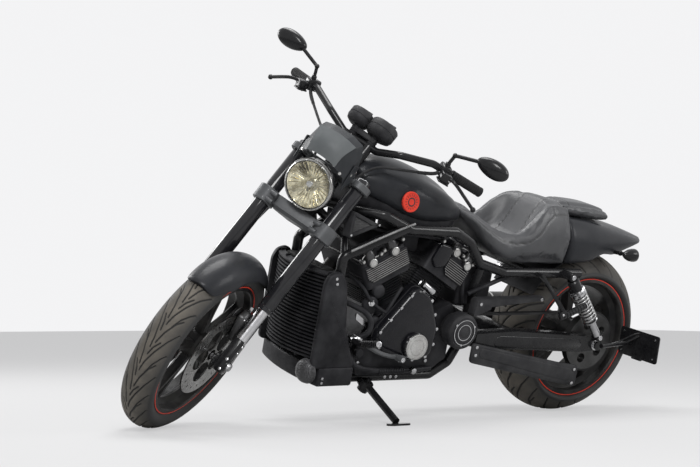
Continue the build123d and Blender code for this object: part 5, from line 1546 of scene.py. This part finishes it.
def buildBadge():
    red, dark = bmesh.new(), bmesh.new()
    at, way = Vector(badge["at"]), Vector(badge["way"]).normalized()
    radius = badge["radius"]
    face = at + way * 2
    turned(red, at - way * 5, way, [(0, 0), (radius, 0), (radius, 7.2), (radius - 2.5, 9.2), (radius - 5, 9.2),
            (radius - 6, 8),
                                    (radius * 0.5, 8), (radius * 0.46, 9), (radius * 0.3, 9), (radius * 0.26, 8),
                                    (0, 8)], 56)
    turn = Matrix((Vector((1, 0, 0)), way.cross(Vector((1, 0, 0))), way)).transposed().to_4x4()
    for ray in range(badge["rays"]):
        angle = 2 * pi * ray / badge["rays"]
        middle = face + turn.to_3x3() @ Vector((cos(angle), sin(angle), 0)) * radius * 0.66
        addBox(dark, middle + way * 1.2, (radius * 0.2, 1.8, 1), turn @ Matrix.Rotation(angle, 4, "Z"), 0.3, 1)
    turned(dark, face + way * 1, way, [(radius * 0.3, 0), (radius * 0.46, 0), (radius * 0.44, 1.2),
            (radius * 0.32, 1.2), (radius * 0.3, 0)], 40)
    makePiece(red, "tankBadge", "badge_red", "chassis", replaced=("tank_badge",))
    makePiece(dark, "badgeRays", "dark_plastic", "chassis")


def buildScoops():
    bm, mesh, bolts = bmesh.new(), bmesh.new(), bmesh.new()
    outline = rounded([(-x, z) for x, z in scoop["outline"]], 16, 5)
    outer = scoop["outer"]
    for side in (-1, 1):
        stack(bm, outline, ((scoop["inner"], 0), (outer - 5, 0), (outer - 1.5, 1.5), (outer, 5), (outer, 12),
                (outer - 6, 15)), side)
        stack(mesh, inset(outline, 15), ((outer - 5.5, 0), (outer - 7, 0)), side)
    makePiece(bm, "sideScoops", "dark_plastic", "chassis", smooth=40, replaced=("air_scoops",))
    look(makePiece(mesh, "scoopMeshes", "dark_plastic", "chassis"), "scoopMesh")
    for side in (-1, 1):
        for x, z in ((1222, 722), (1112, 760)):
            addBolt(bolts, (x, (outer - 2) * side, z), (0, side, 0), 4, 3)
    makePiece(bolts, "scoopBolts", "steel", "chassis")


buildBadge()
buildScoops()
print("stage: fork, bar, badge and scoops")


# ---- rear end: shocks, swingarm, guards, plate, turn lamps
shock = {"top": (218, 212, 599), "low": (14, 212, 362), "coil": 27.0, "wire": 4.8, "turns": 8.2, "from": 96.0,
        "to": 222.0}


def coilPoints(start, way, radius, low, high, turns, steps=14):
    way = Vector(way).normalized()
    across = way.cross(Vector((0, 1, 0))).normalized()
    other = way.cross(across)
    count = int(turns * steps)
    return [tuple(Vector(start) + way * (low + (high - low) * k / count)
                  + (across * cos(2 * pi * k / steps) + other * sin(2 * pi * k / steps)) * radius)
                  for k in range(count + 1)]


def buildShocks():
    bright, coils, dark = bmesh.new(), bmesh.new(), bmesh.new()
    for side in (-1, 1):
        top, low = sided(shock["top"], side), sided(shock["low"], side)
        way = (top - low).normalized()
        addPipe(coils, coilPoints(low, way, shock["coil"], shock["from"], shock["to"], shock["turns"]), shock["wire"],
                12, 2)
        turned(bright, low, way, [(0, 12), (15.6, 12), (15.6, 88), (29, 90), (29, 93), (24, 95), (13, 96), (13, 226),
                (24, 228),
                                  (31, 229), (31, 238), (27, 240), (27, 246), (31, 247), (31, 251), (24, 253),
                                  (0, 253)], 40)
        turned(dark, low, way, [(0, 250), (23.6, 250), (23.6, 294), (19, 298), (0, 299)], 40)
        for at, inner in ((top, 168.6), (low, 194.6)):
            addRod(dark, Vector((at.x, inner * side, at.z)), Vector((at.x, 226.6 * side, at.z)), 15.8, edge=1.5)
            cap(bright, Vector((at.x, 226.4 * side, at.z)), (0, side, 0), 10, 4.5, (0.5,), 24)
    makePiece(bright, "shockBodies", "steel", "chassis", smooth=40, replaced=("shock_bodies",))
    makePiece(coils, "shockCoils", "spring_steel", "chassis", smooth=60, replaced=("shock_springs",))
    makePiece(dark, "shockTops", "frame_paint", "chassis")


def platePair(bm, corners, near, far, radius, edge, side=1):
    # bevelled plate between two side distances, drawn as (x, z)
    outline = rounded([(-x, z) for x, z in corners], radius, 4)
    shares = ((0, 0), (0.5, 0), (0.8, edge * 0.35), (1, edge))
    stack(bm, outline, [(near + (far - near) * share, shrink) for share, shrink in shares], side)


def buildSwingarm():
    bm, bright = bmesh.new(), bmesh.new()
    arm = [(611, 320), (611, 380), (420, 388), (60, 362), (-36, 350), (-36, 300), (60, 292), (420, 308)]
    for side in (-1, 1):
        platePair(bm, arm, 158.4, 193.8, 12, 5, side)
        platePair(bm, [(520, 334), (500, 368), (90, 350), (70, 328), (90, 306), (500, 320)], 190, 196, 10, 3, side)
        addRod(bright, (0, 192 * side, 325), (0, 200 * side, 325), 22, edge=1)
        addRod(bright, (0, 199 * side, 325), (0, 205.8 * side, 325), 18, sides=6, edge=1)
        addRod(bright, (-36, 176 * side, 325), (-20, 176 * side, 325), 6, sides=12)
    addBox(bm, (430, 0, 348), (58, 320, 68), None, 8, 2)
    makePiece(bm, "swingArms", "frame_paint", "chassis", smooth=40, replaced=("swingarm",))
    makePiece(bright, "rearAxleEnds", "steel", "chassis")


guard = {"pulley": (677, 385), "boltCircle": 48.0, "rings": (29, 46)}


def buildGuards():
    bm, bright = bmesh.new(), bmesh.new()
    pulleyX, pulleyZ = guard["pulley"]
    turned(bm, (pulleyX, 155.4, pulleyZ), (0, 1, 0), [(0, 0), (65.6, 0), (65.6, 38), (62, 45), (55, 48), (52, 46.5),
            (44, 46.5), (41, 49),
                                              (26, 50.5), (23, 48.5), (19, 48.5), (16, 51), (0, 51.4)], 72)
    platePair(bm, [(634, 274), (634, 348), (180, 262), (86, 250), (86, 168), (180, 182)], 206.2, 217.8, 16, 4)
    platePair(bm, [(600, 296), (596, 330), (200, 252), (120, 236), (120, 190), (200, 204)], 217, 220.6, 14, 3)
    platePair(bm, [(640, 440), (630, 505), (300, 512), (300, 496), (560, 470)], 156.2, 187.6, 10, 5)
    for x, z, y in ((618, 304, 218), (618, 334, 218), (110, 236, 218), (110, 182, 218), (610, 486, 187),
            (320, 504, 187)):
        addBolt(bright, (x, y - 1, z), (0, 1, 0), 6.5, 5)
    for turn in range(3):
        angle = 2 * pi * turn / 3 + 0.6
        addBolt(bright, (pulleyX + guard["boltCircle"] * cos(angle), 201, pulleyZ + guard["boltCircle"] * sin(angle)),
                (0, 1, 0), 4.2, 4)
    for radius in guard["rings"]:
        turned(bright, (pulleyX, 201.8, pulleyZ), (0, 1, 0),
                [(radius - 1.4, 0), (radius + 1, 0), (radius + 1, 4.4), (radius - 1.4, 4.4), (radius - 1.4, 0)], 72)
    makePiece(bm, "beltGuards", "dark_plastic", "chassis", smooth=42, replaced=("belt_guards",))
    makePiece(bright, "guardBolts", "steel", "chassis")


plate = {"x": -190.0, "y": 240.0, "z": 335.0, "holder": (204, 109), "face": (189, 99)}


def buildPlate():
    holder, face, bright = bmesh.new(), bmesh.new(), bmesh.new()
    across = Vector((0, 1, 0.08)).normalized()
    rise = Vector((-1, 0, 0)).cross(across)
    turn = Matrix((across, rise, Vector((-1, 0, 0)))).transposed().to_4x4()
    place = Matrix.Translation((plate["x"], plate["y"], plate["z"])) @ turn
    addPlate(holder, roundedOutline(*plate["holder"], 10), place, 5.8, 1.5, 2)
    addPlate(face, roundedOutline(*plate["face"], 7), place @ Matrix.Translation((0, 0, 6)), 2.0, 0.6, 1)
    for x in (-82, 82):
        for y in (-38, 38):
            addBolt(bright, place @ Vector((x, y, 8)), (-1, 0, 0), 4.4, 2.4)
            addRod(bright, place @ Vector((x, y, 0)), place @ Vector((x, y, -5)), 5, sides=6, edge=0.8)
    addBox(holder, place @ Vector((0, 50, 0)), (50, 20, 11), turn, 3, 2)
    addRod(holder, (-191, 203, 335), (-14, 216, 325), 8.8)
    addRod(holder, (0, 206.4, 325), (0, 214, 325), 17.8, edge=1)
    addRod(holder, (-150, 205, 333), (-186, 238, 372), 5)
    addPipe(holder, [(-186, 238, 382), (-160, 232, 378), (-120, 214, 346), (-60, 214, 333)], 2.6, 8)
    makePiece(holder, "plateHolder", "frame_paint", "chassis", replaced=("plate_holder",))
    makePiece(face, "numberPlate", "plate_face", "chassis", replaced=("number_plate",))
    makePiece(bright, "plateBolts", "steel", "chassis")


turnLamp = {"at": (-142, 172, 677)}


def buildTurnLamps():
    bodies, lenses = bmesh.new(), bmesh.new()
    for side in (-1, 1):
        at = sided(turnLamp["at"], side)
        turned(bodies, at, (1, 0, 0), [(0, 8), (24.6, 8), (25.7, 12), (25.7, 22), (23, 38), (17, 53), (9, 65),
                (4, 69), (0, 69.6)], 40)
        turned(lenses, at, (1, 0, 0), [(0, 0.5), (9, 1), (17, 2.8), (22.5, 6), (24.2, 9), (0, 9)], 40)
        addRod(bodies, (-98, 92 * side, 668), (-98, 152 * side, 676), 7.6)
        addRod(bodies, (-98, 128 * side, 673), (-98, 136 * side, 674), 10, edge=1.5)
    makePiece(bodies, "turnLamps", "frame_paint", "chassis", smooth=60, replaced=("rear_lamps",))
    makePiece(lenses, "turnLenses", "lamp_lens", "chassis", smooth=60)


buildShocks()
buildSwingarm()
buildGuards()
buildPlate()
buildTurnLamps()


# ---- exhaust, pegs and levers; heights and rear ends of the silencers
pipes = {"front": [(1114, -60, 568), (1158, -66, 500), (1158, -90, 320), (1128, -214, 270), (1010, -262, 252),
        (600, -262, 252)],
         "rear": [(672, -70, 564), (648, -96, 520), (664, -214, 480), (640, -262, 400), (610, -262, 352),
         (560, -262, 352)],
         "radius": (23.6, 21.6), "silencer": 45.6, "bore": 36.0, "side": -262, "mouth": 620,
         "ends": ((252, -40), (352, 60))}


def buildExhaust():
    bm, bright = bmesh.new(), bmesh.new()
    for route, radius in zip((pipes["front"], pipes["rear"]), pipes["radius"]):
        smooth = []
        for a, b in zip(route, route[1:]):
            smooth += [tuple(Vector(a).lerp(Vector(b), t)) for t in (0.0, 0.18, 0.5, 0.82)]
        addPipe(bm, smooth + [route[-1]], radius, 24, 6)
    r, bore, side, mouth = (pipes[key] for key in ("silencer", "bore", "side", "mouth"))
    for z, rear in pipes["ends"]:
        long = mouth - rear
        profile = [(0, 0), (24, 0), (r - 10, 12), (r - 1.5, 34), (r, 48), (r, long - 42), (r - 2, long - 40),
                (r - 2, long - 34),
                   (r, long - 32), (r, long - 4), (r - 3, long), (bore + 1, long), (bore, long - 3),
                   (bore - 2, long - 70), (0, long - 72)]
        turned(bm, (mouth, side, z), (-1, 0, 0), profile, 56)
        for x in (596, rear + 120):
            turned(bright, (x, side, z), (-1, 0, 0), [(r - 4, 0), (r + 0.3, 0), (r + 0.3, 9), (r - 4, 9), (r - 4, 0)],
                    56)
        for k in range(7):
            addBox(bm, (500 - k * 44, side - r + 1.2, z + 14), (30, 3, 6), Matrix.Rotation(radians(16), 4, "X"), 1, 1)
    for z in (252, 352):
        addBox(bm, (470, -214, z - 2), (44, 16, 40), None, 3, 1)
    makePiece(bm, "exhaustPipes", "exhaust_black", "chassis", smooth=45, replaced=("exhaust",))
    makePiece(bright, "exhaustBands", "satin_metal", "chassis")


def ribbedPeg(bm, bright, start, end, radius, ribs):
    start, end = Vector(start), Vector(end)
    way, long = (end - start).normalized(), (end - start).length
    profile = [(0, 0), (radius - 3, 0), (radius - 3, 12)]
    pitch = (long - 18) / ribs
    for rib in range(ribs):
        low = 12 + rib * pitch
        profile += [(radius, low + 1), (radius, low + pitch * 0.6), (radius - 2, low + pitch * 0.65),
                (radius - 2, low + pitch)]
    turned(bm, start, way, profile + [(radius - 1, long - 6), (radius - 1, long - 3), (0, long - 3)], 28)
    cap(bright, end - way * 4, way, radius - 2, 4, (0.45,), 24)


def buildPegs():
    dark, bright, levers = bmesh.new(), bmesh.new(), bmesh.new()
    for side in (-1, 1):
        addPipe(dark, bothSides([(1199, 142, 350), (1170, 142, 350), (1142, 143, 350), (1132, 176, 351),
                (1130, 214, 352)], side), 10.8, 14)
        ribbedPeg(dark, bright, (1131, 214 * side, 354), (1150, 330 * side, 392), 13, 7)
        addPipe(levers, bothSides([(1134, 232, 360), (1112, 246, 348), (1085, 256, 336), (1050, 261, 326),
                (1010, 262, 320)], side), 7.8, 12)
        ribbedPeg(levers, bright, (1010, 248 * side, 320), (1010, 300 * side, 322), 10.8, 4)
        cap(bright, (1134, 238 * side, 362), (0.1, side, 0.2), 9, 5, (0.5,), 24)
        addPipe(levers, bothSides([(1020, 250, 322), (980, 226, 316), (930, 212, 300)], side), 4.5, 10)
        addPipe(dark, bothSides([(350, 168.6, 596), (350, 192, 596), (346, 212, 586), (332, 240, 556),
                (300, 252, 516), (262, 264, 470)], side), 8.8, 14)
        addBox(dark, (272, 262 * side, 468), (34, 18, 30), Matrix.Rotation(radians(30), 4, "Y"), 4, 2)
        ribbedPeg(dark, bright, (268, 264 * side, 462), (165, 264 * side, 505), 13, 7)
        addBolt(bright, (278, 271 * side, 470), (0, side, 0), 5, 4)
    makePiece(dark, "pegs", "frame_paint", "chassis", smooth=40, replaced=("foot_controls",))
    makePiece(levers, "footLevers", "clamp_metal", "chassis", smooth=40)
    makePiece(bright, "pegEnds", "steel", "chassis")


buildExhaust()
buildPegs()
print("stage: rear end, exhaust and pegs")


# ---- floor, backdrop, lights and camera
setting = {"floorColour": (0.6, 0.6, 0.6), "floorGlow": (0.78, 0.78, 0.79), "glowShare": 0.62, "floorSize": 30.0,
           "floorRoughness": 0.85, "world": 0.3, "sky": (0.9, 0.9, 0.91)}


def buildFloor():
    bm = bmesh.new()
    half = setting["floorSize"] / 2
    bmesh.ops.create_grid(bm, x_segments=1, y_segments=1, size=half)
    mesh = bpy.data.meshes.new("floor")
    bm.to_mesh(mesh)
    bm.free()
    floor = bpy.data.objects.new("floor", mesh)
    bpy.context.scene.collection.objects.link(floor)
    material, tree, shader = newMaterial("floorPlain")
    fill(tree, shader, {"Base Color": setting["floorColour"], "Roughness": setting["floorRoughness"]})
    plain = addNode(tree, "Emission", {"Color": setting["floorGlow"]}).outputs["Emission"]
    share = mathNode(tree, "MULTIPLY", addNode(tree, "LightPath", {}).outputs["Is Camera Ray"], setting["glowShare"])
    both = addNode(tree, "MixShader", {"Fac": share, 1: shader.outputs["BSDF"], 2: plain}).outputs["Shader"]
    fill(tree, tree.nodes["Material Output"], {"Surface": both})
    mesh.materials.append(material)


buildFloor()

world = bpy.data.worlds.new("studio")
bpy.context.scene.world = world
world.use_nodes = True
worldTree = world.node_tree
skyLight = worldTree.nodes["Background"]
fill(worldTree, skyLight, {"Color": (1, 1, 1), "Strength": setting["world"]})
plainSky = addNode(worldTree, "Background", {"Color": setting["sky"], "Strength": 1.0}).outputs["Background"]
rays = addNode(worldTree, "LightPath", {}).outputs
seen = rays["Is Camera Ray"]
for ray in ("Is Glossy Ray", "Is Transmission Ray"):
    seen = mathNode(worldTree, "MAXIMUM", seen, rays[ray])
skyMix = addNode(worldTree, "MixShader", {"Fac": seen, 1: skyLight.outputs["Background"],
        2: plainSky}).outputs["Shader"]
fill(worldTree, worldTree.nodes["World Output"], {"Surface": skyMix})

lamps = [  # name, place, size, power
    ("keyLight", (2.6, 3.6, 3.4), 1.6, 150.0),
    ("fillLight", (-3.2, 3.4, 2.2), 1.8, 70.0),
    ("topLight", (0.0, -0.4, 4.0), 2.0, 110.0),
    ("rimLight", (1.5, -3.6, 2.6), 1.6, 80.0),
]
for lampName, place, size, power in lamps:
    light = bpy.data.lights.new(lampName, "AREA")
    light.size = size
    light.energy = power
    lampObject = bpy.data.objects.new(lampName, light)
    lampObject.location = place
    aim = Vector((0, 0, 0.5)) - Vector(place)
    lampObject.rotation_euler = aim.to_track_quat("-Z", "Y").to_euler()
    bpy.context.scene.collection.objects.link(lampObject)

# the view: where the eye is and how it is turned, in degrees
eye = {"place": (3.3984, 4.2668, 0.4159), "yaw": -125.98, "pitch": 2.58, "roll": 0.32, "lens": 78.7}
yaw, pitch, roll = (radians(eye[key]) for key in ("yaw", "pitch", "roll"))
sight = Vector((cos(yaw) * cos(pitch), sin(yaw) * cos(pitch), sin(pitch)))
right = sight.cross(Vector((0, 0, 1))).normalized()
above = right.cross(sight)
tiltedRight = right * cos(roll) + above * sin(roll)
tiltedUp = above * cos(roll) - right * sin(roll)
cameraData = bpy.data.cameras.new("view")
cameraData.lens = eye["lens"]
cameraData.sensor_width = 36.0
camera = bpy.data.objects.new("view", cameraData)
camera.matrix_world = Matrix.Translation(eye["place"]) @ Matrix((tiltedRight, tiltedUp, -sight)).transposed().to_4x4()
bpy.context.scene.collection.objects.link(camera)
bpy.context.scene.camera = camera
bpy.context.scene.view_settings.view_transform = "Standard"
print("stage: light and camera")
